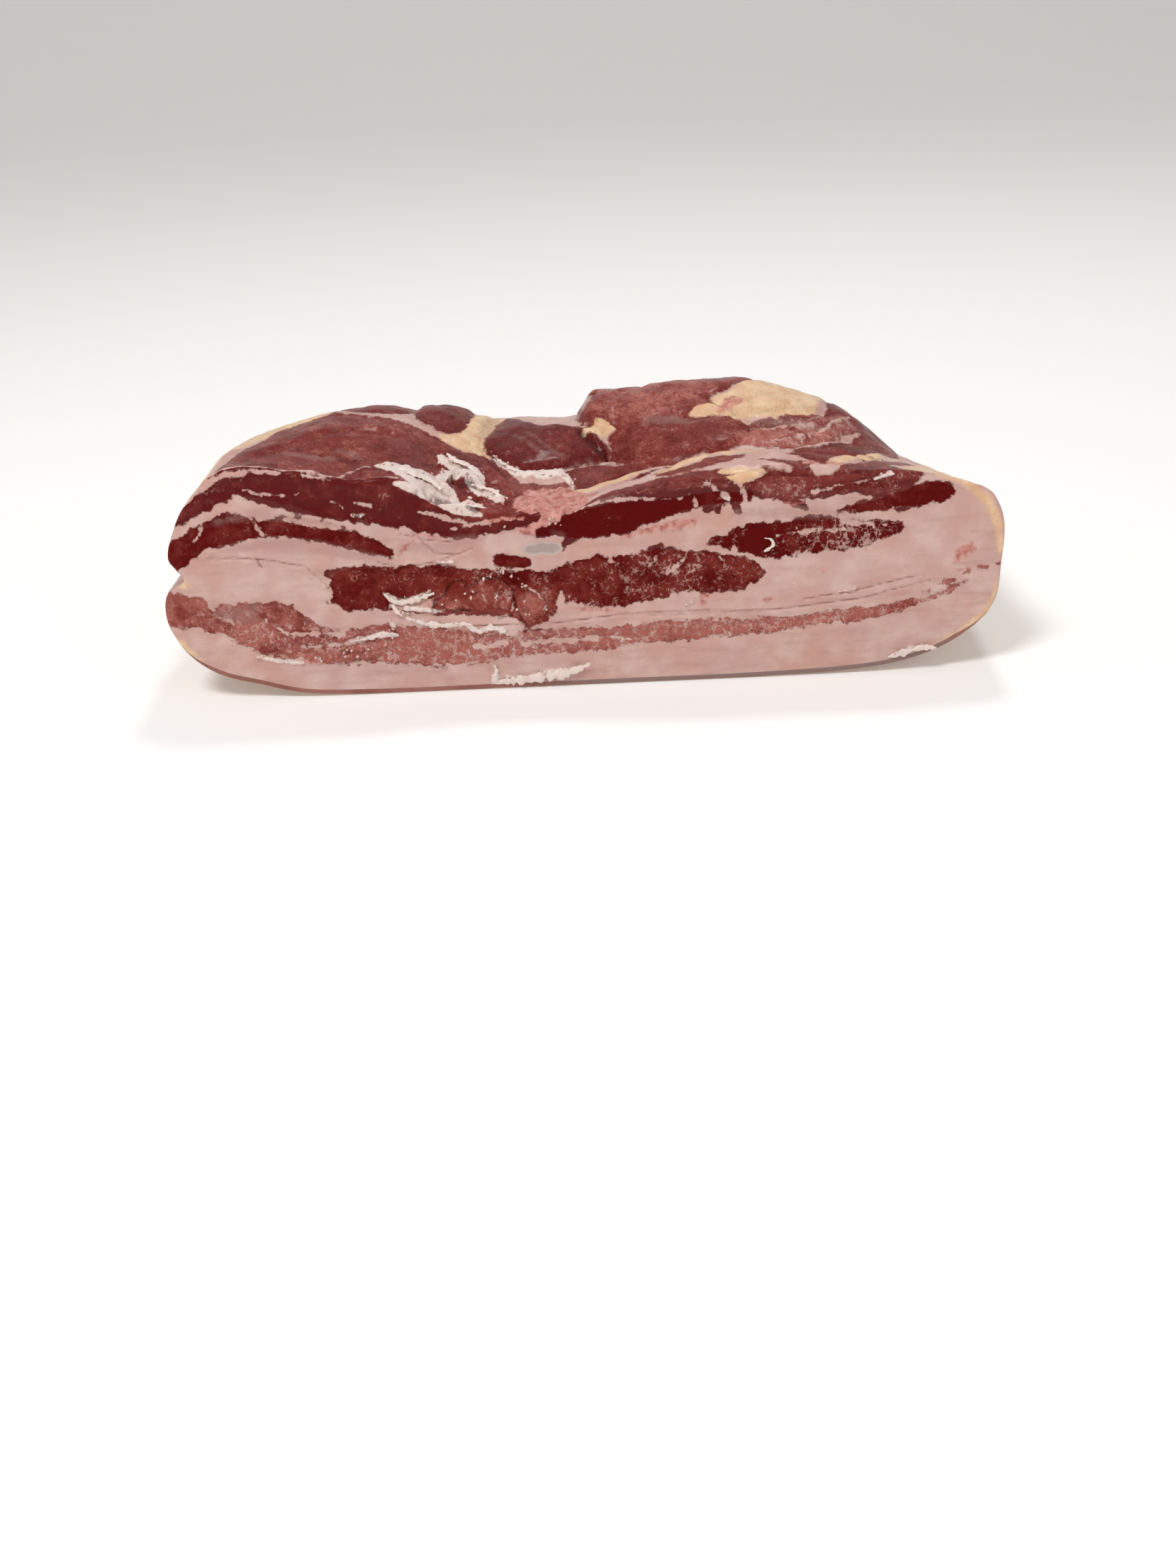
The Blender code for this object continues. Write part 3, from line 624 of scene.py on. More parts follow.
def cutRelief(x, z, leanDepth, side):
    # How far a cut face stands out: soft waves of the knife, fat that swells beside the grainier
    # lean, and on the front cut its torn places, folds and lines.
    place = np.stack([x, np.zeros(len(x)), z], 1)
    grain = 0.24 * lumps(place, 1.9, 21) + 0.22 * lumps(place, 3.6, 22)
    waves = 0.5 * lumps(place * (1, 1, 2.2), 26.0, 23) + 0.26 * lumps(place * (1, 1, 3.0), 9.0, 24)
    waves += 0.12 * lumps(place * (1, 1, 2.4), 4.0, 28)
    relief = waves + smooth(-0.2, 1.4, leanDepth) * (grain - 0.4)
    if side < 0:
        flat = np.stack([x, z], 1)
        jagged = 0.9 * lumps(place, 1.9, 25)
        white = smooth(-0.2, 0.5, strokes(flat, cutPaint["white"]) + jagged)
        torn = smooth(-0.5, 1.0, strokes(flat, tornChunks) + jagged)
        relief += white * (0.8 + 0.7 * lumps(place, 2.0, 26)) + torn * (0.8 + 1.5 * lumps(place, 3.2, 27))
        relief -= 0.8 * smooth(-0.5, 0.4, strokes(flat, cutPaint["dark"]))
        toLine = strokes(flat, cutPaint["line"])
        relief += 0.5 * smooth(-2.4, -0.5, toLine) - 0.8 * smooth(-0.6, 0.3, toLine)
    return relief


def slabSkin():
    # The whole slab, before its muscles are told apart, with its fine relief.
    outline = respaced(closedCurve(frontOutline, 12),
                       lambda middles: np.where(middles[:, 1] > 9, slab["skinStep"], slab["underStep"]))
    edges = slab["edges"]
    inner = np.linspace(-half + edges[-1][0], half - edges[-1][0],
                        round(slab["depth"] / slab["stationStep"]) + 1)[1:-1]
    stations = [(-half + back, pull) for back, pull in edges] + [(y, 0.0) for y in inner]
    stations += [(half - back, pull) for back, pull in edges[::-1]]
    rings = np.array([carry(outline[:, 0], np.maximum(outline[:, 1], 0), y) for y, _ in stations])
    way = np.roll(rings, -1, 1) - np.roll(rings, 1, 1)
    outward = np.stack([-way[..., 2], np.zeros(way.shape[:2]), way[..., 0]], -1)
    outward /= np.linalg.norm(outward, axis=2, keepdims=True)
    x, y, z = (rings[..., k].ravel() for k in range(3))
    upper = smooth(8.0, 20.0, z)
    lifts = topRelief(x, y) * upper
    pulls = np.repeat([pull for _, pull in stations], len(outline))
    settled = outward.reshape(-1, 3) * (lifts * np.clip(1 - pulls / 3, 0, 1) - pulls)[:, None]
    settled[:, 2] = np.where(z < 0.5, np.maximum(settled[:, 2], 0), settled[:, 2])
    points = rings.reshape(-1, 3) + settled
    count = len(outline)
    skin = points.reshape(len(stations), count, 3)
    around = np.arange(count)
    following = np.roll(around, -1)
    faces = []
    for s in range(len(stations) - 1):
        a, b = s * count, (s + 1) * count
        faces.extend(np.stack([a + around, a + following, b + following, b + around], 1).tolist())
    for end, y in ((0, -half), (len(stations) - 1, half)):
        flat, triangles = capOf(skin[end][:, [0, 2]], slab["capSteps"][end > 0], 7 + end)
        cap = np.stack([flat[:, 0], np.full(len(flat), y), flat[:, 1]], 1)[count:]
        leanDepth = np.max([inside(cap[:, [0, 2]], layerRing(layer, y)[:, [0, 2]])
                            for layer in layers.values()], 0)
        edge = smooth(0.0, 3.0, inside(cap[:, [0, 2]], skin[end][:, [0, 2]]))
        sectionX, sectionZ = sectionOf(cap)
        cap[:, 1] += math.copysign(1, y) * edge * cutRelief(sectionX, sectionZ, leanDepth, y)
        base = len(points)
        points = np.vstack([points, cap])
        names = np.concatenate([np.arange(count) + end * count, base + np.arange(len(cap))])
        faces.extend(names[np.array(triangles)].tolist())
    made = meshObject("slab_skin", points, faces)
    pointOutwards(made)
    return made


def boolean(piece, operation, others):
    # Cuts the piece with closed meshes, one after another, and keeps the result as its mesh.
    for other in others:
        cut = piece.modifiers.new("cut", "BOOLEAN")
        cut.operation = operation
        cut.solver = "MANIFOLD"
        cut.object = other
    graph = bpy.context.evaluated_depsgraph_get()
    mesh = bpy.data.meshes.new_from_object(piece.evaluated_get(graph))
    piece.modifiers.clear()
    piece.data = mesh
    return piece


def copied(piece, name):
    made = bpy.data.objects.new(name, piece.data.copy())
    bpy.context.scene.collection.objects.link(made)
    return made


def discard(*pieces):
    for piece in pieces:
        mesh = piece.data
        bpy.data.objects.remove(piece)
        if mesh.users == 0:
            bpy.data.meshes.remove(mesh)


def largestBody(piece):
    # Drops the loose scraps that cutting leaves.
    shape = bmesh.new()
    shape.from_mesh(piece.data)
    bmesh.ops.remove_doubles(shape, verts=shape.verts, dist=1e-7)
    bodies, unseen = [], set(shape.verts)
    while unseen:
        front, body = [unseen.pop()], []
        while front:
            vertex = front.pop()
            body.append(vertex)
            linked = {edge.other_vert(vertex) for edge in vertex.link_edges} & unseen
            unseen -= linked
            front.extend(linked)
        bodies.append(body)
    bodies.sort(key=len)
    bmesh.ops.delete(shape, geom=[v for body in bodies[:-1] for v in body], context="VERTS")
    shape.to_mesh(piece.data)
    shape.free()


# What each piece looks like where its muscle is cut: tone from dark 0 to pale 1, and how much white
# lace runs through it.
pieceLooks = {
    "lean_flank_top": (0.1, 0.06), "lean_belly_edge": (0.24, 0.2), "lean_rib_sliver": (0.16, 0.1),
    "lean_main": (0.28, 0.38), "lean_loin_band": (0.1, 0.46), "lean_shoulder": (0.24, 0.25),
    "lean_upper": (0.0, 0.05), "lean_crest": (0.28, 0.3), "lean_skin_muscle": (0.9, 0.72),
    "lean_skin_ribbon": (0.94, 0.74), "rib_cartilage": (0.6, 0.0), "lean_tongue": (0.32, 0.2),
    "lean_middle": (0.42, 0.2), "lean_ridge": (0.48, 0.2),
}
# Places on the cut where the look changes: (x, z, half width, half height, added tone, added lace).
cutSpots = [
    (-132, 33, 12, 7, -0.06, -0.4), (-100, 28, 12, 7, -0.16, -0.3), (-90, 20, 16, 7, -0.1, 0.1),
    (-62, 21, 20, 5, 0.0, 0.1), (-32, 15, 14, 6, 0.05, 0.3), (-62, 38, 18, 8, -0.06, -0.14),
    (-44, 31, 8, 5, 0.5, 0.1), (-32, 32, 6, 6, 0.5, 0.1), (-18, 28, 8, 7, 0.6, 0.0),
    (-19, 39, 7, 2.5, -0.2, 0.0), (-22, 37, 4, 3, -0.25, 0.0), (30, 36, 24, 8, 0.02, 0.26),
    (47, 36, 9, 6, 0.0, -0.1), (56, 48, 7, 5, -0.14, -0.5), (86, 47, 14, 6, 0.1, 0.5),
    (50, 65, 10, 6, 0.1, 0.15), (64, 66, 9, 5, 0.34, 0.3), (84, 67, 14, 3, 0.24, 0.1),
    (-120, 74, 10, 4, 0.05, 0.3), (-88, 73, 26, 3, 0.06, 0.1), (-55, 68, 14, 4, 0.1, 0.0),
    (-30, 60, 14, 4, 0.4, 0.1), (0, 56, 12, 4, -0.1, 0.0), (112, 61, 7, 4, -0.15, -0.2),
    (-129, 66, 6, 4, 0.15, 0.3), (-60, 63, 20, 4, -0.1, 0.0), (-84, 66, 16, 4, -0.1, 0.0),
]
# What lies on the front cut, as lines of (x, z, width).
cutPaint = {
    "lean": [
        [(-82.4, 42.8, 2.2), (-77, 41.5, 5.5), (-70, 42.6, 5.2), (-66, 42, 4)],
        [(21.5, 46.4, 1.4), (25.5, 46.9, 1.6)], [(27, 44.4, 4.5), (30.4, 44, 4.2)],
        [(35, 43, 3), (40, 42.6, 3.4)],
        [(46, 41.5, 3.8), (51.5, 40, 4.6), (54, 36.5, 5), (50.5, 33.8, 5), (44, 32.8, 4.6)],
        [(-48, 28, 2.2), (-40, 29, 3.6), (-30, 27.6, 3.4), (-27, 27.4, 2.6)],
        [(-18.6, 24.6, 3.6), (-18.4, 22.2, 2.2)], [(-13, 28, 4), (-15.4, 25.4, 2)],
        [(1, 42, 2.6), (6, 42.4, 2.4)],
        [(-26, 18.6, 3.4), (-14, 18.9, 3.6), (-4, 18.7, 3.8), (8, 18.5, 3.2), (20, 19.4, 4.2),
         (32, 19.8, 4.8), (44, 18.8, 5.2), (60, 19.4, 4.8), (74, 20.3, 4.2), (90, 21, 4.2), (98, 23, 2.8),
         (104.5, 24.8, 1.4)],
        [(-32, 12.8, 4.0), (-18, 13.2, 3.4), (-6, 13.8, 3.4), (6, 14, 2.5), (12, 14.4, 1.4)],
        [(109.4, 27.2, 1.5), (112.2, 28.6, 1.3)], [(114, 29.8, 1.1), (119.4, 31.6, 1.6)],
        [(122, 33.2, 0.8), (124.4, 34.2, 0.6)], [(127, 35.2, 0.15), (134, 36.2, 0.15)],
        [(-13.6, 52.2, 1.0), (-9, 53.6, 3.0), (-4, 54, 5)],
        [(-6.6, 47, 0.6), (-5.6, 49.4, 2.0), (-3, 52, 4)],
        [(-4, 56, 6), (4, 57.8, 7.6), (12, 58.8, 7), (20, 60.3, 5), (28, 62, 3.8)],
        [(32, 64, 3.2), (33.6, 61.4, 2.2)],
        [(6, 64.8, 1.6), (14, 65.6, 3.4), (24, 65.8, 4.8), (33, 65.4, 4.2)],
        [(-107, 70.4, 2), (-97, 67.6, 3), (-88, 64.4, 3), (-78, 61.6, 2)],
        [(24, 68.4, 3.4), (30, 68.8, 4), (37, 67.4, 5)],
        [(34, 66.6, 4), (37, 65.4, 5.4), (40.4, 62.6, 5), (40.4, 58.6, 2.8)],
        [(45, 65.6, 3.4), (48.6, 64.8, 4.2)], [(43.2, 60.6, 2.6), (43.4, 57.6, 1.4)],
        [(48.4, 60.6, 2.4), (50, 57.4, 1.4)],
        [(55, 64.6, 4.4), (60, 64.8, 6.8), (66, 64.4, 8.4), (70, 64.6, 7.4)],
        [(65, 60.8, 2.4), (69.5, 59, 2.4), (71.4, 57.8, 1)],
        [(73.6, 61.2, 1.4), (80, 62.6, 2.4), (88, 63.4, 2.8), (94, 62, 3.8), (100, 61.4, 4.6),
         (104.5, 62.4, 3.6)],
        [(82, 56.2, 1.3), (88, 57.4, 2.0), (96, 59, 2.7), (104, 60.4, 4.6), (110, 61.2, 5.8),
         (115.6, 61.6, 5.2)],
        [(99.5, 56.2, 1.1), (103.8, 55.8, 1.3)], [(106, 57.6, 1.4), (110, 57.4, 1.1)],
    ],
    "fat": [
        [(-127, 66.6, 0.9), (-121, 71.6, 2.4), (-113, 76.4, 2.4), (-103, 77.6, 2), (-94, 76.4, 1.1)],
        [(-90, 75.6, 0.8), (-82, 74.6, 1), (-77, 73.6, 0.6)],
        [(-51.5, 62, 0.7), (-46, 60.6, 2.2), (-41, 58.7, 2.2), (-36.5, 57.6, 0.9)],
        [(-41.5, 55.8, 0.7), (-36, 56.6, 1.3), (-30, 57.8, 1.8), (-25, 58.5, 1.4), (-17, 58.4, 1.6)],
        [(-106, 71.4, 0.3), (-101, 70, 0.6), (-94, 69.2, 0.5), (-88, 69.6, 0.3)],
        [(-78.6, 66.6, 1.4), (-75.4, 64.8, 1.2)], [(-71.4, 65.8, 1.2), (-66.6, 64.8, 1.4)],
        [(-104.4, 62, 0.9), (-103, 59, 2.1), (-101.6, 56.2, 1.6)],
        [(-97, 62, 0.8), (-91, 60.8, 2.4), (-84, 59.4, 3.0), (-78, 58.2, 2.4), (-73, 57, 0.8)],
        [(-120.4, 61.4, 2.0), (-121.4, 58, 1.2), (-123.5, 55.6, 1.0), (-127.4, 53.2, 0.9)],
        [(-121, 33.6, 1.8), (-119.6, 30.4, 1.1), (-115, 27.2, 0.4)],
        [(-103.6, 27.8, 0.5), (-101, 25, 0.8), (-97, 22.8, 0.9), (-90, 22.2, 1.0), (-84, 22, 0.7),
         (-79, 21.4, 0.5)],
        [(-93, 18.2, 0.5), (-86, 17.8, 0.8), (-80, 18.2, 1.1), (-74, 20, 1.3), (-67, 20.8, 1.4)],
        [(-86, 31.4, 3.4), (-83, 36.4, 4.2)], [(-63, 30.8, 1.6), (-56, 31, 3.4), (-51, 31.4, 3.8)],
        [(-7.4, 33.4, 0.9), (-8, 30, 2.6), (-7.4, 27.2, 3.2)],
        [(-26, 24.4, 1.6), (-24, 27.4, 1.2), (-23, 30, 0.5)],
        [(-31.4, 42.4, 0.4), (-27.5, 42.8, 0.6), (-24, 41.2, 0.5), (-21, 38.4, 0.6), (-20, 35.4, 0.4)],
        [(12, 30.6, 0.3), (13.2, 33.4, 0.8), (13.6, 36, 0.3)],
        [(20, 38.6, 0.3), (21.6, 41, 0.7), (23.6, 43.8, 0.6)],
        [(26.6, 37.4, 1.1), (29.5, 40, 1.0), (32.8, 42.6, 0.8), (33.4, 45, 1.6)],
        [(8.6, 42.8, 1.6), (11, 42.2, 0.8)], [(39.5, 46.5, 1.5), (43.5, 43.4, 0.8), (45, 40.6, 0.4)],
        [(48.4, 44.6, 2.0), (48.2, 46.8, 0.9), (48.8, 48.8, 0.3)],
        [(62, 48.6, 0.3), (68, 49.6, 0.5), (75, 49.6, 0.4), (84, 50.2, 0.4)],
        [(83, 52.8, 1.2), (92, 51.4, 0.8), (99, 50.6, 0.6)],
        [(72.6, 62.8, 0.8), (80, 64.4, 0.6), (88, 65.2, 0.7), (94, 66.6, 0.9), (98, 67.6, 1.4)],
        [(1, 61.0, 0.7), (9, 63.0, 0.9), (18, 62.9, 0.9), (27, 62.5, 0.8), (33, 62.8, 0.5)],
        [(46.6, 62.4, 2.2), (44.5, 62.9, 1.2)], [(51.4, 64, 2.4), (52.4, 60, 2.2)],
        [(36.4, 60.2, 1.8), (35.8, 63.4, 0.8)], [(45.8, 60, 1.5), (46.2, 57, 2)],
        [(46.6, 69.6, 2), (51.4, 68.4, 4.6), (58, 69.6, 2)],
        [(-20.6, 16.2, 0.4), (-12, 16.4, 1.0), (0, 16.2, 1.0), (9, 16.4, 0.9), (14, 16, 0.6)],
        [(-37, 15.6, 0.8), (-31, 15.4, 1.6), (-27.4, 16.8, 0.6)], [(-26, 21, 1.4), (-21, 18.2, 0.6)],
    ],
    "white": [
        [(-58, 71.6, 1.6), (-52, 69.6, 4), (-47, 67.6, 5), (-43, 65, 5), (-39, 62.8, 5), (-35, 61.2, 3.6),
         (-31.6, 60, 1.4)],
        [(-19.9, 35.8, 0.5), (-16, 33.5, 0.8), (-12.7, 30.3, 0.8), (-13.5, 27.3, 0.5)],
        [(-33, 34, 0.4), (-32, 31, 0.6)], [(-31.7, 39.1, 0.5), (-29.3, 40.7, 0.7), (-25.8, 41.5, 0.6)],
        [(-24, 40.6, 0.5), (-21.5, 38, 0.8), (-19.3, 35.5, 0.6)], [(-28.5, 34.6, 0.5), (-29, 30.8, 0.5)],
        [(-58, 26.4, 1), (-52, 24.2, 1.3), (-45.5, 23.2, 1.3), (-39.7, 23.6, 1.1), (-35.2, 20.6, 1.3),
         (-31, 22.2, 1.6), (-27, 20.8, 1.6)],
        [(-64.8, 35.4, 0.9), (-61.4, 32.8, 1.5), (-57, 33, 1.2), (-53, 33.8, 1.5), (-49.8, 35.4, 0.6)],
        [(-62, 31, 0.8), (-60.4, 28.2, 1.0)], [(-58, 30.2, 1.8), (-50, 29, 1.8), (-46.4, 28.2, 0.6)],
        [(-77, 19.2, 0.6), (-71, 20.4, 1.4), (-64.5, 21.4, 2.0), (-61.6, 20.4, 0.8)],
        [(-63.6, 25.8, 0.9), (-62.8, 24.2, 1.6), (-62, 22.6, 0.5)],
        [(-108, 15.4, 0.6), (-103, 14, 1.5), (-97, 13, 1.5), (-93.2, 12.6, 0.9)],
        [(-31, 8.6, 0.6), (-30.4, 6, 1.4), (-31, 3.2, 2.2)],
        [(-27, 4.4, 0.7), (-20, 3.6, 1.5), (-13, 5.0, 2.6), (-6, 5.6, 2.0), (-1, 7.2, 1.1)],
        [(-46.6, 45.6, 1.0), (-44, 44.8, 0.7), (-42.4, 45.2, 1.3)],
        [(101, 6.2, 0.7), (106, 8, 2.0), (113, 8.2, 1.5)], [(46.8, 61.9, 1.3), (45.2, 62.2, 0.9)],
        [(94.6, 66.8, 0.8), (98, 67.8, 1.6)], [(-51, 10, 0.7), (-47.4, 9.2, 1.0)],
        [(-72.6, 62.3, 0.4), (-70, 61.4, 0.7), (-68.4, 62.6, 0.4)], [(32.6, 26.4, 0.4), (35, 28, 0.5)],
        [(82, 29.2, 0.3), (87.6, 30, 0.5)],
    ],
    "blush": [
        [(-93, 12.9, 2.0), (-84, 13.2, 3.0), (-76, 14.6, 2.8), (-68, 16.2, 2.4)],
        [(13, 50.4, 1.2), (18, 52, 1.6), (24, 53.2, 2.2), (30, 54, 3.2), (36.5, 54.8, 1.6)],
        [(120.4, 38.4, 2.2), (122, 40.6, 4.2), (124.6, 42.2, 2.8)], [(120, 34.6, 0.8), (126, 35.4, 0.8)],
        [(-30, 59.6, 4), (-23, 58, 5.4), (-14, 57, 7.4), (-6, 57.6, 7), (-1, 59.4, 4)],
        [(-20, 54.4, 1.6), (-12, 53.6, 3.4)], [(77.3, 37, 1.0), (78, 37, 1.0)],
        [(38.8, 29.8, 2.4), (37.8, 26.6, 1.6)], [(8, 26.4, 1.2), (2, 26.8, 1.4), (-2, 27, 0.8)],
        [(-60, 47, 0.6), (-52, 55, 0.8), (-44, 53, 0.6)], [(58, 27.4, 0.6), (60, 27.6, 0.8)],
    ],
    "yellow": [
        [(45, 69.4, 2), (51, 68.4, 4.4), (56, 69.4, 2)],
        [(114, 67, 1.4), (122, 63.6, 2.4), (129, 58, 3), (133, 50, 3), (134.4, 41, 2)],
        [(-129.6, 41.6, 2.6), (-127, 40.8, 1.2)], [(-133, 22, 2.4), (-131, 18.6, 2.8), (-127, 15.4, 1.6)],
        [(134, 30, 1), (131, 20, 2), (122, 12.6, 2), (112, 8, 1.2)],
    ],
    "film": [
        [(-120, 30.4, 2.0), (-115, 30.2, 6.0), (-110, 29.6, 6.5), (-107, 33, 3.4)],
        [(3.6, 62.4, 1.2), (10, 64.4, 2.4), (16, 67, 3.0)], [(-9.6, 53.4, 1.0), (-6.4, 52, 1.0)],
        [(-120, 50.5, 2), (-110, 52.6, 4), (-98, 53.2, 5), (-84, 51.4, 5), (-72, 48.4, 4), (-62, 46, 2)],
        [(-116, 61.4, 2), (-104, 64, 3), (-90, 61.6, 3), (-76, 58.4, 2)],
        [(-58, 50, 4), (-44, 50.4, 5), (-32, 52, 3)],
        [(48, 56.6, 2), (60, 56.4, 4), (74, 56, 4), (86, 54.6, 2)],
    ],
    # Painted shade: dark strokes laid into the cracks and hollows of the torn cut.
    "dark": [
        [(-49.7, 28.4, 0.5), (-48.8, 32, 0.8), (-45.3, 33.6, 0.6), (-43.9, 36.6, 0.8), (-41.5, 38.3, 0.7),
         (-38.7, 37.9, 0.6), (-37.7, 35.7, 0.7)],
        [(-37, 36.3, 0.5), (-32.9, 38.5, 0.7), (-28.3, 38.9, 0.6), (-23.9, 35.7, 0.6)],
        [(-23.1, 35, 0.6), (-22.8, 29.5, 0.9), (-21.1, 25.2, 0.7), (-19.5, 22.6, 0.4)],
        [(-45.1, 28.7, 0.4), (-40.5, 28.2, 1.0), (-37, 28.4, 0.5)],
        [(-68, 40.6, 0.4), (-66.6, 38.6, 0.5)],
        [(-48, 67.4, 1.6), (-45.4, 66.8, 4.2), (-42.4, 65.6, 2.6)],
        [(-35.6, 62.8, 1.6), (-33, 61.8, 2.4)], [(-104.8, 49, 0.45), (-103.4, 46, 0.6)],
        [(-83.6, 33.2, 0.7), (-83.3, 32.6, 0.7)], [(-43, 28.6, 0.4), (-38, 28.2, 0.8)],
        [(-28.4, 25, 0.6), (-24, 25.8, 0.5)], [(90.4, 44.6, 0.25), (91, 42.4, 0.3)],
        [(-22.6, 38.4, 2.6), (-20.6, 36.6, 1.4)], [(69, 58.8, 0.8), (71, 58.4, 0.5)],
        [(-46.4, 44.4, 0.6), (-43, 43.6, 0.6)],
    ],
    "line": [
        [(-126, 49.5, 0.3), (-111, 49.3, 0.5), (-99, 47.7, 0.4), (-89, 45.2, 0.4), (-83, 39, 0.3)],
        [(-54.4, 55.6, 0.3), (-50.7, 51.3, 0.45), (-47, 47.9, 0.4), (-41, 47.7, 0.3)],
        [(-66, 45.7, 0.3), (-58.4, 43.4, 0.4), (-45, 45.7, 0.4), (-34.8, 49.5, 0.3)],
        [(-58, 55, 0.3), (-50, 52.6, 0.4), (-42, 51.6, 0.3)],
        [(-40, 22.4, 0.4), (-28, 22.6, 0.5), (-12, 22.4, 0.3), (10, 24.4, 0.4), (40, 24.6, 0.3)],
        [(20, 23.6, 0.3), (60, 23.8, 0.45), (90, 26.4, 0.4), (112, 31.6, 0.3)],
        [(70, 27, 0.3), (90, 29.6, 0.3), (108, 33.4, 0.3)],
    ],
}
# Pieces of muscle on the front cut that are torn and stand out in crumbs: (x, z, width).
tornChunks = [
    [(-48, 31, 5), (-40, 32, 8), (-31, 32, 9)], [(-22, 31, 6), (-18.6, 25, 8)],
    [(-13, 31, 4), (-14, 27, 4)], [(-60, 30, 3), (-50, 28, 4)], [(-30, 58, 5), (-24, 57, 6)],
    [(-16, 56, 7), (-6, 57, 6)], [(-92, 13.4, 2), (-82, 14, 4), (-66, 16.6, 4)],
]


def measured(piece, name):
    # Stores at each point of a piece what its material reads, in millimetres or from 0 to 1.
    points = pointsOf(piece)
    sectionX, sectionZ = sectionOf(points)
    tone, lace = pieceLooks.get(name, (0.4, 0.2))
    isLean = name in pieceLooks
    values = {key: np.full(len(points), -2.5) for key in cutPaint}
    values["lean"] = np.full(len(points), 2.5 if isLean else -2.5)
    values["tone"] = np.full(len(points), float(tone))
    values["lace"] = np.full(len(points), float(lace))
    values["moist"] = np.full(len(points), 0.5)
    for side in (-1, 1):
        here = np.flatnonzero(points[:, 1] * side > half - 1.2)
        face = points[here][:, [0, 2]]
        muscles = [key for key in layers if key != "rib_cartilage"]
        rings = [layerRing(layers[key], side * half)[:, [0, 2]] for key in muscles]
        depths = np.array([inside(face, ring, 4.0) for ring in rings])
        nearest = depths.argmax(0)
        if name != "rib_cartilage":
            values["lean"][here] = depths.max(0)
            tones = np.array([pieceLooks[key][0] for key in muscles])[nearest]
            values["tone"][here] = np.where(depths.max(0) > -3.9, tones, 0.9)
            values["lace"][here] = np.array([pieceLooks[key][1] for key in muscles])[nearest]
        else:
            values["lean"][here] = inside(face, layerRing(layers[name], side * half)[:, [0, 2]])
        values["moist"][here] = 0.0
        if side < 0 and name != "rib_cartilage":
            for key, lines in cutPaint.items():
                values[key][here] = np.maximum(values[key][here], strokes(face, lines))
    for x, z, halfX, halfZ, addTone, addLace in cutSpots:
        weight = np.exp(-((sectionX - x) / halfX) ** 2 - ((sectionZ - z) / halfZ) ** 2)
        values["tone"] += addTone * weight
        values["lace"] += addLace * weight
    onTop = (np.abs(points[:, 1]) < half - 1.2) & (sectionZ > 52)
    onTop &= points[:, 2] > topHeight(points[:, 0], points[:, 1]) - 6
    top = points[onTop][:, :2]
    depths = {key: inside(top, closedCurve(spec[0], 4)) for key, spec in topMuscles.items()}
    values["lean"][onTop] = np.max(list(depths.values()), 0)
    tones = np.full(len(top), 0.5)
    for key, (_, muscleTone, _, _) in topMuscles.items():
        within = smooth(-1.0, 1.0, depths[key])
        tones = tones * (1 - within) + muscleTone * within
    for x, y, wide, deep, tone in topSpots:
        tones = tones + tone * np.exp(-((top[:, 0] - x) / wide) ** 2 - ((top[:, 1] - y) / deep) ** 2)
    values["tone"][onTop] = tones
    values["lace"][onTop] = 0.12 + 0.5 * smooth(-1.0, 2.0, depths["palePad"])
    values["moist"][onTop] = 1.0
    for key, lines in topPaint.items():
        values[key][onTop] = np.maximum(values[key][onTop], strokes(top, lines))
    for key in topPatches:
        values[key][onTop] = np.maximum(values[key][onTop], patchDepth(key, top))
    values["yellow"][onTop] = np.minimum(values["yellow"][onTop], (sectionZ[onTop] - 56.5) * 0.5)
    values["lean"] = np.minimum(values["lean"], -values.pop("fat"))
    between = smooth(half - 0.5, half - 3, np.abs(points[:, 1]))
    dried = smooth(-125, -132, points[:, 0]) * between
    values["film"] = np.maximum(values["film"], dried * 2.7 - 2.5)
    capped = smooth(122, 131, points[:, 0]) * smooth(6, 20, points[:, 2])
    values["yellow"] = np.maximum(values["yellow"], capped * between * 5 - 2.5)
    for key, amounts in values.items():
        layer = piece.data.attributes.new(key, "FLOAT", "POINT")
        layer.data.foreach_set("value", np.clip(amounts, -2.5, 2.5).astype(np.float32))


def linear(hexColour):
    # An sRGB hex colour as the linear values that Blender's colours hold.
    channels = [int(hexColour[k:k + 2], 16) / 255 for k in (0, 2, 4)]
    return [c / 12.92 if c <= 0.04045 else ((c + 0.055) / 1.055) ** 2.4 for c in channels] + [1.0]


def node(tree, kind, links=(), out=0, **settings):
    # Adds a node with its settings. Its links are outputs, numbers or hex colours, in order or by name.
    made = tree.nodes.new(kind)
    for key, value in settings.items():
        setattr(made, key, value)
    for key, value in links.items() if isinstance(links, dict) else enumerate(links):
        if isinstance(value, bpy.types.NodeSocket):
            tree.links.new(value, made.inputs[key])
        else:
            made.inputs[key].default_value = linear(value) if isinstance(value, str) else value
    return made.outputs[out] if made.outputs else made


def blankMaterial(name):
    material = bpy.data.materials.new(name)
    material.use_nodes = True
    material.node_tree.nodes.clear()
    return material, partial(node, material.node_tree)


# How the meat looks. Sizes are millimetres, colours sRGB.
meat = {
    "fatCool": "CCA59D", "fatWarm": "CC9E91", "fatPale": "DBBDB3", "fatLine": "B4857A",
    "fatWhite": "EFDED5", "fatShade": "B58A82",
    "yellowPale": "EFCCA4", "yellowDeep": "DBAC80", "blushPale": "D8988A", "blushDeep": "A3453B",
    # The film colour is the grey of pale membrane and of painted sheen.
    "leanDark": "610A07", "leanMiddle": "823028", "leanPale": "B4695D", "film": "9A756E",
    # The crease colour is the dark red of painted shade in folds, cracks and holes.
    "crease": "3E0A08",
    "bundle": 2.6, "fibreWide": 0.8, "fibreLong": 15.0, "tissueGap": 3.2, "speck": 2.4,
    "bend": 0.0062,   # how far bundles are bent out of line, in metres
}
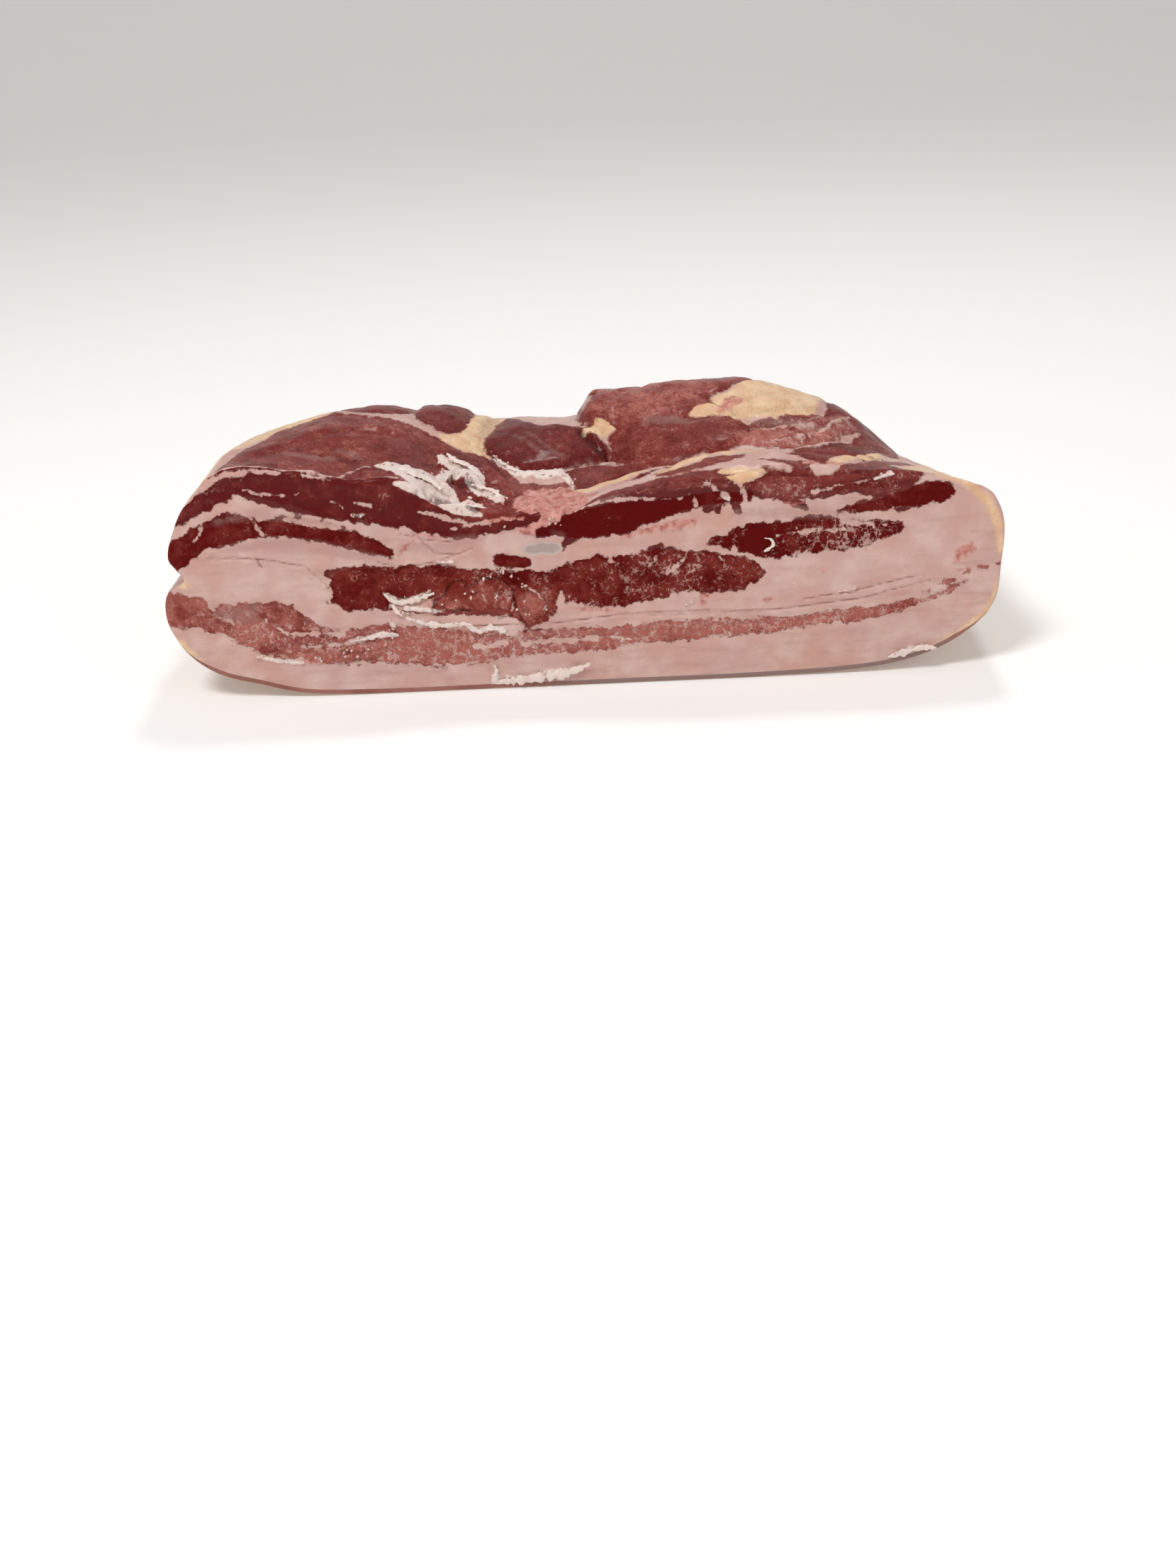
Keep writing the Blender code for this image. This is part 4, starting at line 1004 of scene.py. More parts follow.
# The size, detail and roughness of each uneven pattern.
meatNoises = {
    "broad": (26.0, 2.0, 0.5), "patch": (9.0, 3.0, 0.55), "middling": (5.0, 3.0, 0.6),
    "curl": (3.2, 2.0, 0.6), "ragged": (2.4, 5.0, 0.62), "fleck": (1.5, 2.0, 0.5), "skin": (1.0, 4.0, 0.6),
}
# How far the edge of each thing that lies on the meat wanders, where it starts and is full, and how
# strongly it covers.
meatCovers = {
    "yellow": (1.3, -0.9, 1.2, 0.9), "blush": (0.9, -0.9, 1.1, 0.85), "white": (0.6, -0.25, 0.4, 0.9),
    "film": (1.3, -1.1, 1.5, 0.5), "dark": (0.35, -0.5, 0.5, 0.65), "line": (0.25, -0.4, 0.3, 0.45),
}


def meatMaterial(name, fibreTurn, gloss, coat):
    # Pork belly, cut and cured a little: fat is smooth, waxy and lets light in; muscle is darker, in small
    # bundles with pale tissue between them, moist, and pale film, partly painted sheen, lies over parts of
    # it.
    material, add = blankMaterial(name)
    place = add("ShaderNodeTexCoord", out="Object")
    fields = {key: add("ShaderNodeAttribute", out="Fac", attribute_name=key)
              for key in ("lean", "tone", "lace", "moist", *meatCovers)}
    noises = {key: add("ShaderNodeTexNoise", {"Vector": place, "Scale": 1000.0 / size, "Detail": detail,
                                              "Roughness": rough})
              for key, (size, detail, rough) in meatNoises.items()}
    ragged = add("ShaderNodeMath", (noises["ragged"], 3.4, -1.7), operation="MULTIPLY_ADD")
    covers = {}
    for key, (wander, low, high, strength) in meatCovers.items():
        edge = add("ShaderNodeMath", (ragged, wander, fields[key]), operation="MULTIPLY_ADD")
        covers[key] = add("ShaderNodeMapRange", (edge, low, high, 0.0, strength),
                          interpolation_type="SMOOTHSTEP")

    # Fat, with faint wavy lines of tissue along the layers.
    flattened = add("ShaderNodeMapping", {"Vector": place, "Scale": (0.16, 0.3, 1.0)})
    tissue = add("ShaderNodeTexNoise", {"Vector": flattened, "Scale": 1000.0 / meat["tissueGap"],
                                        "Detail": 3.0, "Roughness": 0.6})
    tissue = add("ShaderNodeMapRange", (tissue, 0.5, 0.68, 0.0, 0.28), interpolation_type="SMOOTHSTEP")
    warmth = add("ShaderNodeMapRange", (noises["broad"], 0.35, 0.65))
    waxy = add("ShaderNodeMapRange", (noises["patch"], 0.36, 0.74, 0.0, 0.7),
               interpolation_type="SMOOTHSTEP")
    ageing = add("ShaderNodeMapRange", (noises["middling"], 0.35, 0.7))
    rawness = add("ShaderNodeMapRange", (noises["ragged"], 0.4, 0.64))
    yellow = add("ShaderNodeMix", {0: ageing, 6: meat["yellowPale"], 7: meat["yellowDeep"]}, 2,
                 data_type="RGBA")
    torn = add("ShaderNodeMix", {0: rawness, 6: meat["blushPale"], 7: meat["blushDeep"]}, 2,
               data_type="RGBA")
    fat = meat["fatCool"]
    for share, colour in ((warmth, meat["fatWarm"]), (waxy, meat["fatPale"]), (tissue, meat["fatLine"]),
                          (covers["film"], meat["fatShade"]), (covers["line"], meat["fatLine"]),
                          (covers["yellow"], yellow), (covers["blush"], torn),
                          (covers["white"], meat["fatWhite"])):
        fat = add("ShaderNodeMix", {0: share, 6: fat, 7: colour}, 2, data_type="RGBA")

    # How much white runs through the muscle here.
    swing = add("ShaderNodeMath", (noises["middling"], 1.8, -0.9), operation="MULTIPLY_ADD")
    laceHere = add("ShaderNodeMath", (fields["lace"], swing), operation="ADD")
    laced = add("ShaderNodeMapRange", (laceHere, 0.4, 0.85), interpolation_type="SMOOTHSTEP")
    broken = add("ShaderNodeMapRange", (noises["fleck"], 0.4, 0.62))

    # Muscle: bundles of fibres, edged with white where it is laced, and short white curls elsewhere.
    bend = add("ShaderNodeTexNoise", {"Vector": place, "Scale": 1000.0 / 2.4, "Detail": 4.0}, "Color")
    bend = add("ShaderNodeVectorMath", (bend, (-0.5, -0.5, -0.5)), operation="ADD")
    bend = add("ShaderNodeVectorMath", {0: bend, "Scale": meat["bend"]}, operation="SCALE")
    bent = add("ShaderNodeVectorMath", (place, bend), operation="ADD")
    turned = add("ShaderNodeMapping", {"Vector": bent, "Rotation": fibreTurn})
    along = add("ShaderNodeMapping", {"Vector": turned, "Scale": (1, 0.16, 0.8)})
    bundles = add("ShaderNodeTexVoronoi", {"Vector": along, "Scale": 1000.0 / meat["bundle"]}, "Distance",
                  feature="DISTANCE_TO_EDGE")
    bundleColour = add("ShaderNodeTexVoronoi", {"Vector": along, "Scale": 1000.0 / meat["bundle"]}, "Color")
    luck = add("ShaderNodeSeparateColor", (bundleColour,))
    drawnOut = meat["fibreWide"] / meat["fibreLong"]
    combed = add("ShaderNodeMapping", {"Vector": turned, "Scale": (1, drawnOut, 1)})
    fibres = add("ShaderNodeTexNoise", {"Vector": combed, "Scale": 1000.0 / meat["fibreWide"],
                                        "Detail": 3.0, "Roughness": 0.6})
    fullVein = add("ShaderNodeMath", (broken, 0.16, 0.03), operation="MULTIPLY_ADD")
    veinWidth = add("ShaderNodeMath", (laced, fullVein, 0.004), operation="MULTIPLY_ADD")
    veinCore = add("ShaderNodeMath", (veinWidth, 0.3), operation="MULTIPLY")
    vein = add("ShaderNodeMapRange", (bundles, veinWidth, veinCore, 0.0, 0.72),
               interpolation_type="SMOOTHSTEP")
    vein = add("ShaderNodeMath", (vein, laced), operation="MULTIPLY")
    level = add("ShaderNodeMath", (noises["curl"], 0.5), operation="SUBTRACT")
    level = add("ShaderNodeMath", (level,), operation="ABSOLUTE")
    curl = add("ShaderNodeMapRange", (level, 0.03, 0.006, 0.0, 0.6), interpolation_type="SMOOTHSTEP")
    curlHere = add("ShaderNodeMapRange", (laceHere, 0.2, 0.5), interpolation_type="SMOOTHSTEP")
    curl = add("ShaderNodeMath", (curl, curlHere), operation="MULTIPLY")
    curl = add("ShaderNodeMath", (curl, broken), operation="MULTIPLY")

    # The colour of muscle: mottled, darker at its borders as painted shade, streaked along its fibres on the
    # top.
    streaks = add("ShaderNodeMath", (fields["moist"], 1.15, 0.35), operation="MULTIPLY_ADD")
    streaked = add("ShaderNodeMath", (fibres, -0.5), operation="ADD")
    streaked = add("ShaderNodeMath", (streaked, streaks), operation="MULTIPLY")
    # Painted shade: the muscle is darkened near its border, where it lies a step below the fat.
    rim = add("ShaderNodeMapRange", (fields["lean"], 1.6, 0.2, 0.0, -0.12), interpolation_type="SMOOTHSTEP")
    tone = add("ShaderNodeMath", (fields["tone"], streaked), operation="ADD")
    tone = add("ShaderNodeMath", (tone, rim), operation="ADD")
    for value, reach, shift in ((noises["patch"], 0.9, -0.45), (noises["middling"], 0.7, -0.35),
                                (noises["ragged"], 0.6, -0.3)):
        swing = add("ShaderNodeMath", (value, reach, shift), operation="MULTIPLY_ADD")
        tone = add("ShaderNodeMath", (tone, swing), operation="ADD")
    mixDark = add("ShaderNodeMapRange", (tone, 0.0, 0.5), interpolation_type="SMOOTHSTEP")
    mixPale = add("ShaderNodeMapRange", (tone, 0.45, 1.0), interpolation_type="SMOOTHSTEP")
    specks = add("ShaderNodeTexVoronoi", {"Vector": place, "Scale": 1000.0 / meat["speck"]}, "Distance")
    specks = add("ShaderNodeMapRange", (specks, 0.1, 0.05, 0.0, 0.5))
    specks = add("ShaderNodeMath", (specks, curlHere), operation="MULTIPLY")
    lean = meat["leanDark"]
    for share, colour in ((mixDark, meat["leanMiddle"]), (mixPale, meat["leanPale"]),
                          (covers["film"], meat["film"]), (vein, fat), (curl, fat),
                          (specks, meat["fatWhite"])):
        lean = add("ShaderNodeMix", {0: share, 6: lean, 7: colour}, 2, data_type="RGBA")

    # Where muscle ends: a ragged border, with whole bundles missing where it is laced.
    missing = add("ShaderNodeMath", (laced, 1.3, 0.1), operation="MULTIPLY_ADD")
    missing = add("ShaderNodeMath", (missing, luck), operation="MULTIPLY")
    border = add("ShaderNodeMath", (ragged, 1.15, fields["lean"]), operation="MULTIPLY_ADD")
    border = add("ShaderNodeMath", (border, missing), operation="SUBTRACT")
    softness = add("ShaderNodeMath", (fields["moist"], 0.4), operation="MULTIPLY")
    borderEnd = add("ShaderNodeMath", (softness, 0.0), operation="ADD")
    borderStart = add("ShaderNodeMath", (softness, -0.7, -0.48), operation="MULTIPLY_ADD")
    muscle = add("ShaderNodeMapRange", (border, borderStart, borderEnd), interpolation_type="SMOOTHSTEP")
    bare = add("ShaderNodeMath", (1.0, covers["white"]), operation="SUBTRACT")
    muscle = add("ShaderNodeMath", (muscle, bare), operation="MULTIPLY")
    colour = add("ShaderNodeMix", {0: muscle, 6: fat, 7: lean}, 2, data_type="RGBA")
    # Painted shade: the dark strokes darken folds, cracks and holes toward the crease colour.
    colour = add("ShaderNodeMix", {0: covers["dark"], 6: colour, 7: meat["crease"]}, 2, data_type="RGBA")

    domes = add("ShaderNodeMapRange", (bundles, 0.0, 0.24, 0.0, 0.7), interpolation_type="SMOOTHSTEP")
    domes = add("ShaderNodeMath", (domes, curlHere), operation="MULTIPLY")
    height = add("ShaderNodeMath", (fibres, 1.1, domes), operation="MULTIPLY_ADD")
    height = add("ShaderNodeMath", (height, muscle), operation="MULTIPLY")
    moistSkin = add("ShaderNodeMath", (fields["moist"], 0.7, 0.6), operation="MULTIPLY_ADD")
    height = add("ShaderNodeMath", (noises["skin"], moistSkin, height), operation="MULTIPLY_ADD")
    bump = add("ShaderNodeBump", {"Height": height, "Strength": 0.7, "Distance": 0.0006})
    dryness = add("ShaderNodeMapRange", (noises["patch"], 0.3, 0.7, 0.38, 0.58))
    roughness = add("ShaderNodeMath", (fields["moist"], -0.2, dryness), operation="MULTIPLY_ADD")
    shader = add("ShaderNodeBsdfPrincipled", {
        "Base Color": colour, "Roughness": roughness, "Normal": bump, "IOR": 1.44,
        "Specular IOR Level": gloss, "Subsurface Weight": 0.25, "Subsurface Radius": (1.0, 0.38, 0.26),
        "Subsurface Scale": 0.0012, "Coat Weight": coat, "Coat Roughness": 0.2})
    add("ShaderNodeOutputMaterial", {"Surface": shader})
    return material


def rindMaterial():
    # Pig skin, scalded and scraped: tough, dull and yellowish brown, darker and pinker where it is cut, with
    # painted shade greying its cut edge along the middle of the slab.
    material, add = blankMaterial("scrapedRind")
    place = add("ShaderNodeTexCoord", out="Object")
    blotches = add("ShaderNodeTexNoise", {"Vector": place, "Scale": 1000.0 / 14.0, "Detail": 5.0,
                                          "Roughness": 0.6})
    pores = add("ShaderNodeTexVoronoi", {"Vector": place, "Scale": 1000.0 / 2.2}, "Distance")
    pits = add("ShaderNodeMapRange", (pores, 0.0, 0.28))
    cut = add("ShaderNodeAttribute", out="Fac", attribute_name="cutFace")
    grey = add("ShaderNodeAttribute", out="Fac", attribute_name="grey")
    patches = add("ShaderNodeMapRange", (blotches, 0.38, 0.64))
    outside = add("ShaderNodeMix", {0: patches, 6: "C9A27E", 7: "AE7F5E"}, 2, data_type="RGBA")
    fresh = add("ShaderNodeMix", {0: patches, 6: "A06A60", 7: "8A5348"}, 2, data_type="RGBA")
    # Painted shade: the grey mix stands for the shadow on the rind's cut edge.
    fresh = add("ShaderNodeMix", {0: grey, 6: fresh, 7: "8E746E"}, 2, data_type="RGBA")
    colour = add("ShaderNodeMix", {0: cut, 6: outside, 7: fresh}, 2, data_type="RGBA")
    height = add("ShaderNodeMath", (pits, 0.6, blotches), operation="MULTIPLY_ADD")
    bump = add("ShaderNodeBump", {"Height": height, "Strength": 0.5, "Distance": 0.0006})
    shader = add("ShaderNodeBsdfPrincipled", {
        "Base Color": colour, "Roughness": 0.5, "Normal": bump, "IOR": 1.44, "Specular IOR Level": 0.35,
        "Subsurface Weight": 0.1, "Subsurface Radius": (1.0, 0.5, 0.3), "Subsurface Scale": 0.001})
    add("ShaderNodeOutputMaterial", {"Surface": shader})
    return material


def cartilageMaterial():
    # The end of a rib, cut: smooth, glassy and grey, with a paler rim.
    material, add = blankMaterial("ribCartilage")
    place = add("ShaderNodeTexCoord", out="Object")
    depth = add("ShaderNodeAttribute", out="Fac", attribute_name="lean")
    cloud = add("ShaderNodeTexNoise", {"Vector": place, "Scale": 1000.0 / 3.0, "Detail": 3.0})
    edge = add("ShaderNodeMath", (cloud, 1.2, depth), operation="MULTIPLY_ADD")
    core = add("ShaderNodeMapRange", (edge, 0.7, 1.7))
    colour = add("ShaderNodeMix", {0: core, 6: "CFB9B0", 7: "AE9C95"}, 2, data_type="RGBA")
    bump = add("ShaderNodeBump", {"Height": cloud, "Strength": 0.3, "Distance": 0.0004})
    shader = add("ShaderNodeBsdfPrincipled", {
        "Base Color": colour, "Roughness": 0.28, "Normal": bump, "IOR": 1.45, "Subsurface Weight": 0.4,
        "Subsurface Radius": (1.0, 0.8, 0.7), "Subsurface Scale": 0.0015})
    add("ShaderNodeOutputMaterial", {"Surface": shader})
    return material


def finish(piece, material, slotName, *nodes):
    # Dresses a finished piece and puts it in its place in the frame.
    piece.data.materials.clear()
    piece.data.materials.append(material)
    piece.data.shade_smooth()
    piece.data.set_sharp_from_angle(angle=math.radians(48))
    if nodes:
        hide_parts(*nodes)
    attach(piece, "root")


# Torn strips of fat that stand off the slab: corners (x, z or y, how far off, width, thickness), on the
# front cut or on the top.
tornStrips = {
    "hem_strip": ("cut", [
        (-32, 2.6, 0.2, 1.2, 0.6), (-24, 3.0, 0.5, 3.0, 1.0), (-15, 4.0, 0.9, 4.6, 1.2),
        (-7, 5.2, 1.1, 3.4, 1.0), (-1.5, 7.2, 1.5, 1.8, 0.7), (0.8, 8.8, 2.0, 0.6, 0.4),
    ]),
    "hem_tail": ("cut", [
        (-30.6, 8.6, 0.2, 0.8, 0.5), (-30.2, 6.4, 0.5, 1.6, 0.8), (-31, 4.0, 0.3, 2.4, 0.8),
    ]),
    "belly_strip": ("cut", [
        (-48.6, 34.6, 0.0, 0.8, 0.5), (-53, 33.4, 0.5, 1.8, 0.8), (-57.5, 32.4, 0.9, 2.2, 0.9),
        (-61.4, 32.6, 1.3, 2.0, 0.8), (-64.8, 35.8, 1.9, 0.7, 0.4),
    ]),
    "main_fold": ("cut", [
        (-58, 26.4, 0.0, 0.8, 0.5), (-52, 24.4, 0.4, 1.8, 0.9), (-45.5, 23.4, 0.4, 1.8, 0.9),
        (-39.7, 23.8, 0.4, 1.5, 0.9), (-35, 20.8, 0.4, 1.8, 0.9), (-31, 22.2, 0.5, 2.4, 1.2),
        (-27, 20.6, 0.4, 2.0, 1.0), (-25.4, 19, 0.1, 0.8, 0.5),
    ]),
    "belly_tatter": ("cut", [
        (-62.4, 31.8, 0.6, 1.2, 0.6), (-61.4, 29.6, 0.9, 1.4, 0.6), (-59.6, 27.6, 1.0, 0.6, 0.4),
    ]),
    "back_strip": ("cut", [
        (99, 5.4, 0.1, 0.8, 0.5), (104, 7.0, 0.8, 2.2, 0.8), (109.5, 8.6, 1.2, 2.2, 0.8),
        (114.6, 8.4, 1.4, 0.9, 0.5),
    ]),
    "loin_curl": ("cut", [
        (58, 43.8, 0.1, 0.7, 0.6), (59.4, 44.8, 0.8, 0.9, 0.8), (60.9, 46.3, 1.1, 1.0, 0.8),
        (60.2, 48, 0.9, 0.9, 0.8), (58.2, 48.4, 0.3, 0.6, 0.5),
    ]),
    "lower_tatter": ("cut", [
        (-76, 19.4, 0.1, 0.6, 0.4), (-70, 20.4, 0.5, 1.4, 0.7), (-65, 21.6, 0.7, 1.8, 0.8),
        (-61.4, 20.8, 0.3, 0.8, 0.4),
    ]),
    "crest_shred": ("cut", [
        (92.6, 66.0, 0.1, 0.5, 0.4), (96, 67.4, 0.8, 1.3, 0.7), (99, 67.9, 1.0, 0.8, 0.5),
    ]),
    "crown_flake": ("top", [
        (-60, -37.6, 0.4, 1.0, 0.6), (-57.6, -41.4, 0.9, 3.0, 0.8), (-53, -44, 1.2, 5.4, 1.0),
        (-48, -44.6, 1.1, 5.0, 0.9), (-44, -47.4, 0.6, 1.6, 0.6),
    ]),
    "crown_tuft": ("top", [
        (-43.6, -17.6, 0.3, 0.8, 0.5), (-41, -22.4, 1.0, 2.8, 0.9), (-36.6, -24.4, 1.2, 3.8, 1.0),
        (-32.4, -28, 0.6, 1.4, 0.6),
    ]),
    "valley_shred": ("top", [
        (-35, -36.6, 0.3, 1.0, 0.6), (-31, -38.4, 0.9, 3.0, 1.0), (-27.4, -40, 1.0, 3.4, 1.0),
        (-25.4, -44, 0.4, 1.0, 0.5),
    ]),
    "valley_strip": ("top", [
        (-28.6, -12, 0.2, 0.8, 0.5), (-24, -18.8, 0.6, 2.2, 0.8), (-18, -22.2, 0.9, 3.2, 1.0),
        (-11, -21.4, 1.0, 4.6, 1.1), (-5, -22.6, 0.5, 1.6, 0.6),
    ]),
}


def strip(name, where, corners):
    # A torn strip: flattened rings along a smooth line, with uneven edges.
    steps = 9 * (len(corners) - 1)
    u, v, off, width, thick = along([(k, *corner) for k, corner in enumerate(corners)],
                                    np.linspace(0, len(corners) - 1, steps + 1))
    if where == "cut":
        line = np.stack([u, -half - off, v], 1)
        outward = np.array([0.0, -1.0, 0.0])
    else:
        line = np.stack([u, v, topHeight(u, v) + off], 1)
        outward = np.array([0.0, 0.0, 1.0])
    way = np.gradient(line, axis=0)
    across = np.cross(np.broadcast_to(outward, way.shape), way)
    across /= np.linalg.norm(across, axis=1)[:, None]
    width = np.maximum(width * 0.8 * (1 + 1.2 * lumps(line, 1.2, 31)), 0.2)
    thick = thick * 0.7
    rings = []
    for angle in np.linspace(0, 2 * math.pi, 14, endpoint=False):
        ring = line + across * (width / 2 * math.cos(angle))[:, None]
        ring += outward * (thick / 2 * math.sin(angle))[:, None]
        rings.append(ring + 0.22 * lumps(ring, 1.1, 32)[:, None] * outward)
    made = loft(name, np.array(rings).transpose(1, 0, 2))
    pointOutwards(made)
    return made


# Crumbs of fat and muscle that lie on the torn places, scattered by Geometry Nodes.
crumbs = {"perMillimetre": 0.55, "small": 0.18, "large": 0.52, "seed": 4}


def crumbPlaces():
    # Random places along the torn lines of the cut and the top.
    random = np.random.default_rng(crumbs["seed"])
    places = []
    for where, lines in (("cut", cutPaint["white"] + tornChunks), ("top", topPaint["white"])):
        for line in lines:
            line = np.array(line, float)
            for a, b in zip(line, line[1:]):
                count = max(1, round(np.linalg.norm((b - a)[:2]) * crumbs["perMillimetre"]))
                for share in random.uniform(0, 1, count):
                    u, v = (a + (b - a) * share)[:2] + random.normal(0, 0.35, 2) * (1 + a[2] / 2)
                    if where == "cut":
                        places.append((u, -half - 0.35, v))
                    else:
                        places.append((u, v, float(topHeight(np.array([u]), np.array([v]))[0]) + 1.0))
    return places


def scatterCrumbs(material):
    bed = bpy.data.meshes.new("crumb_bed")
    bed.from_pydata([[0.001 * c for c in place] for place in crumbPlaces()], [], [])
    made = bpy.data.objects.new("crumbs", bed)
    bpy.context.scene.collection.objects.link(made)
    tree = bpy.data.node_groups.new("scatterCrumbs", "GeometryNodeTree")
    tree.interface.new_socket("Geometry", in_out="INPUT", socket_type="NodeSocketGeometry")
    kinds = {"Small": "NodeSocketFloat", "Large": "NodeSocketFloat", "Seed": "NodeSocketInt"}
    sockets = {key: tree.interface.new_socket(key, in_out="INPUT", socket_type=kind)
               for key, kind in kinds.items()}
    tree.interface.new_socket("Geometry", in_out="OUTPUT", socket_type="NodeSocketGeometry")
    add = partial(node, tree)
    entry = tree.nodes.new("NodeGroupInput").outputs
    dots = add("GeometryNodeMeshToPoints", {"Mesh": entry["Geometry"]})
    crumb = add("GeometryNodeMeshIcoSphere", {"Radius": 1.0, "Subdivisions": 2})
    wobble = add("ShaderNodeTexNoise", {"Scale": 1.4}, "Color")
    wobble = add("ShaderNodeVectorMath", (wobble, (-0.5, -0.5, -0.5)), operation="ADD")
    crumb = add("GeometryNodeSetPosition", {"Geometry": crumb, "Offset": wobble})
    turn = add("FunctionNodeRandomValue", {0: (0.0, 0.0, 0.0), 1: (6.3, 6.3, 6.3), "Seed": entry["Seed"]},
               data_type="FLOAT_VECTOR")
    size = add("FunctionNodeRandomValue", {2: entry["Small"], 3: entry["Large"], "Seed": entry["Seed"]}, 1)
    uneven = add("ShaderNodeVectorMath", {0: (1.4, 1.0, 0.8), "Scale": size}, operation="SCALE")
    many = add("GeometryNodeInstanceOnPoints", {"Points": dots, "Instance": crumb, "Rotation": turn,
                                                "Scale": uneven})
    plain = add("GeometryNodeRealizeInstances", {"Geometry": many})
    painted = add("GeometryNodeSetMaterial", {"Geometry": plain, "Material": material})
    tree.links.new(painted, tree.nodes.new("NodeGroupOutput").inputs["Geometry"])
    scatter = made.modifiers.new("scatter", "NODES")
    scatter.node_group = tree
    scatter[sockets["Small"].identifier] = crumbs["small"] * 0.001
    scatter[sockets["Large"].identifier] = crumbs["large"] * 0.001
    scatter[sockets["Seed"].identifier] = crumbs["seed"]
    graph = bpy.context.evaluated_depsgraph_get()
    made.data = bpy.data.meshes.new_from_object(made.evaluated_get(graph))
    made.modifiers.clear()
    return made


def paintAll(piece, **amounts):
    # Gives a loose piece the same value all over for each thing that its material reads.
    for key, amount in amounts.items():
        layer = piece.data.attributes.new(key, "FLOAT", "POINT")
        layer.data.foreach_set("value", np.full(len(piece.data.vertices), amount, np.float32))


# Which slot, pieces, turn of the fibres, gloss and wet coat go with each kind of muscle.
leanFinishes = {
    "cutLean": ("dark_lean", ["lean_main", "lean_loin_band", "lean_shoulder", "lean_upper", "lean_rib_sliver",
                              "lean_belly_edge"], (0.25, 0.0, 0.3), 0.07, 0.0),
    "skinLean": ("pale_lean", ["lean_skin_muscle", "lean_skin_ribbon"], (0.3, 0.0, 0.5), 0.22, 0.0),
    "topLean": ("top_lean", ["lean_flank_top", "lean_tongue", "lean_middle", "lean_ridge", "lean_crest"],
                (0.1, 0.0, -0.6), 0.14, 0.12),
}

skin = slabSkin()
print("slab skin", len(skin.data.vertices), "points")
blanks = {name: layerBlank(name + "_blank", layer) for name, layer in layers.items()}
for blank in blanks.values():
    pointOutwards(blank)
for name, (place, front, back) in topMuscleNodes.items():
    blanks[name] = topMuscleBlank(name + "_blank", topMuscles[place][0], front, back)
wideOutline = respaced(closedCurve(frontOutline, 12),
                       lambda middles: np.full(len(middles), rindMaking["step"]))
rindSolid = rindBlank(wideOutline)

pieces = {}
for name, blank in blanks.items():
    piece = boolean(copied(blank, name + "_look"), "INTERSECT", [skin])
    if name in keptClear:
        boolean(piece, "DIFFERENCE", [blanks[other] for other in keptClear[name]])
    largestBody(piece)
    pieces[name] = piece
pieces["rind"] = boolean(copied(rindSolid, "rind"), "INTERSECT", [skin])
pieces["fat_body"] = boolean(copied(skin, "fat_body_look"), "DIFFERENCE",
                             list(blanks.values()) + [rindSolid])
largestBody(pieces["fat_body"])
discard(skin, rindSolid, *blanks.values())
print("cut", len(pieces), "pieces")

porkFat = meatMaterial("porkFat", (0.25, 0.0, 0.3), 0.4, 0.0)
for finishName, (slotName, names, turn, gloss, coat) in leanFinishes.items():
    material = meatMaterial(finishName, turn, gloss, coat)
    for name in names:
        measured(pieces[name], name)
        finish(pieces[name], material, slotName, name)
measured(pieces["fat_body"], "fat_body")
finish(pieces["fat_body"], porkFat, "fat", "fat_body")
measured(pieces["rib_cartilage"], "rib_cartilage")
finish(pieces["rib_cartilage"], cartilageMaterial(), "cartilage", "rib_cartilage")
rindPoints = pointsOf(pieces["rind"])
onCut = smooth(half - 0.8, half - 0.2, np.abs(rindPoints[:, 1]))
# Painted shade: the rind's cut edge is greyed along the middle of the slab, where the bottom lies in shadow.
paintedRindShade = smooth(-30, 10, rindPoints[:, 0]) * smooth(128, 110, rindPoints[:, 0])
for key, amounts in (("cutFace", onCut), ("grey", paintedRindShade)):
    layer = pieces["rind"].data.attributes.new(key, "FLOAT", "POINT")
    layer.data.foreach_set("value", amounts.astype(np.float32))
finish(pieces["rind"], rindMaterial(), "fat")
tornFat = meatMaterial("tornFat", (0.25, 0.0, 0.3), 0.5, 0.0)
for name, (where, corners) in tornStrips.items():
    torn = strip(name, where, corners)
    paintAll(torn, lean=-2.5, tone=0.5, lace=0.0, moist=0.3, yellow=-2.5, blush=-1.2, white=0.35, film=-2.5,
             dark=-2.5, line=-2.5)
    finish(torn, tornFat, "fat")
scattered = scatterCrumbs(tornFat)
paintAll(scattered, lean=-2.5, tone=0.5, lace=0.0, moist=0.6, yellow=-2.5, blush=-0.9, white=0.1, film=-2.5,
         dark=-2.5, line=-2.5)
finish(scattered, tornFat, "fat")
print("finishes set,", len(scattered.data.polygons), "faces of crumbs")

# The stage: a pale floor, a soft near-white room, one large soft light and one weaker one.
stage = {
    "paper": "EFEEEC", "room": "FFFFFF", "roomStrength": 0.3, "paperGlow": 0.2,
    "wallAt": 1.6, "bend": 0.9, "wallHeight": 3.0,
    "keyPlace": (-0.45, -0.72, 1.2), "keySize": 0.4, "keyPower": 11.6,
    "fillPlace": (0.9, -0.7, 0.6), "fillSize": 0.8, "fillPower": 1.6,
    "rimPlace": (0.15, 0.45, 1.1), "rimSize": 0.18, "rimPower": 3.4,
}


def softLight(name, place, size, power):
    lamp = bpy.data.lights.new(name, "AREA")
    lamp.shape = "DISK"
    lamp.size = size
    lamp.energy = power
    made = bpy.data.objects.new(name, lamp)
    made.location = place
    made.rotation_euler = (Vector((0, 0, 0.03)) - Vector(place)).to_track_quat("-Z", "Y").to_euler()
    bpy.context.scene.collection.objects.link(made)


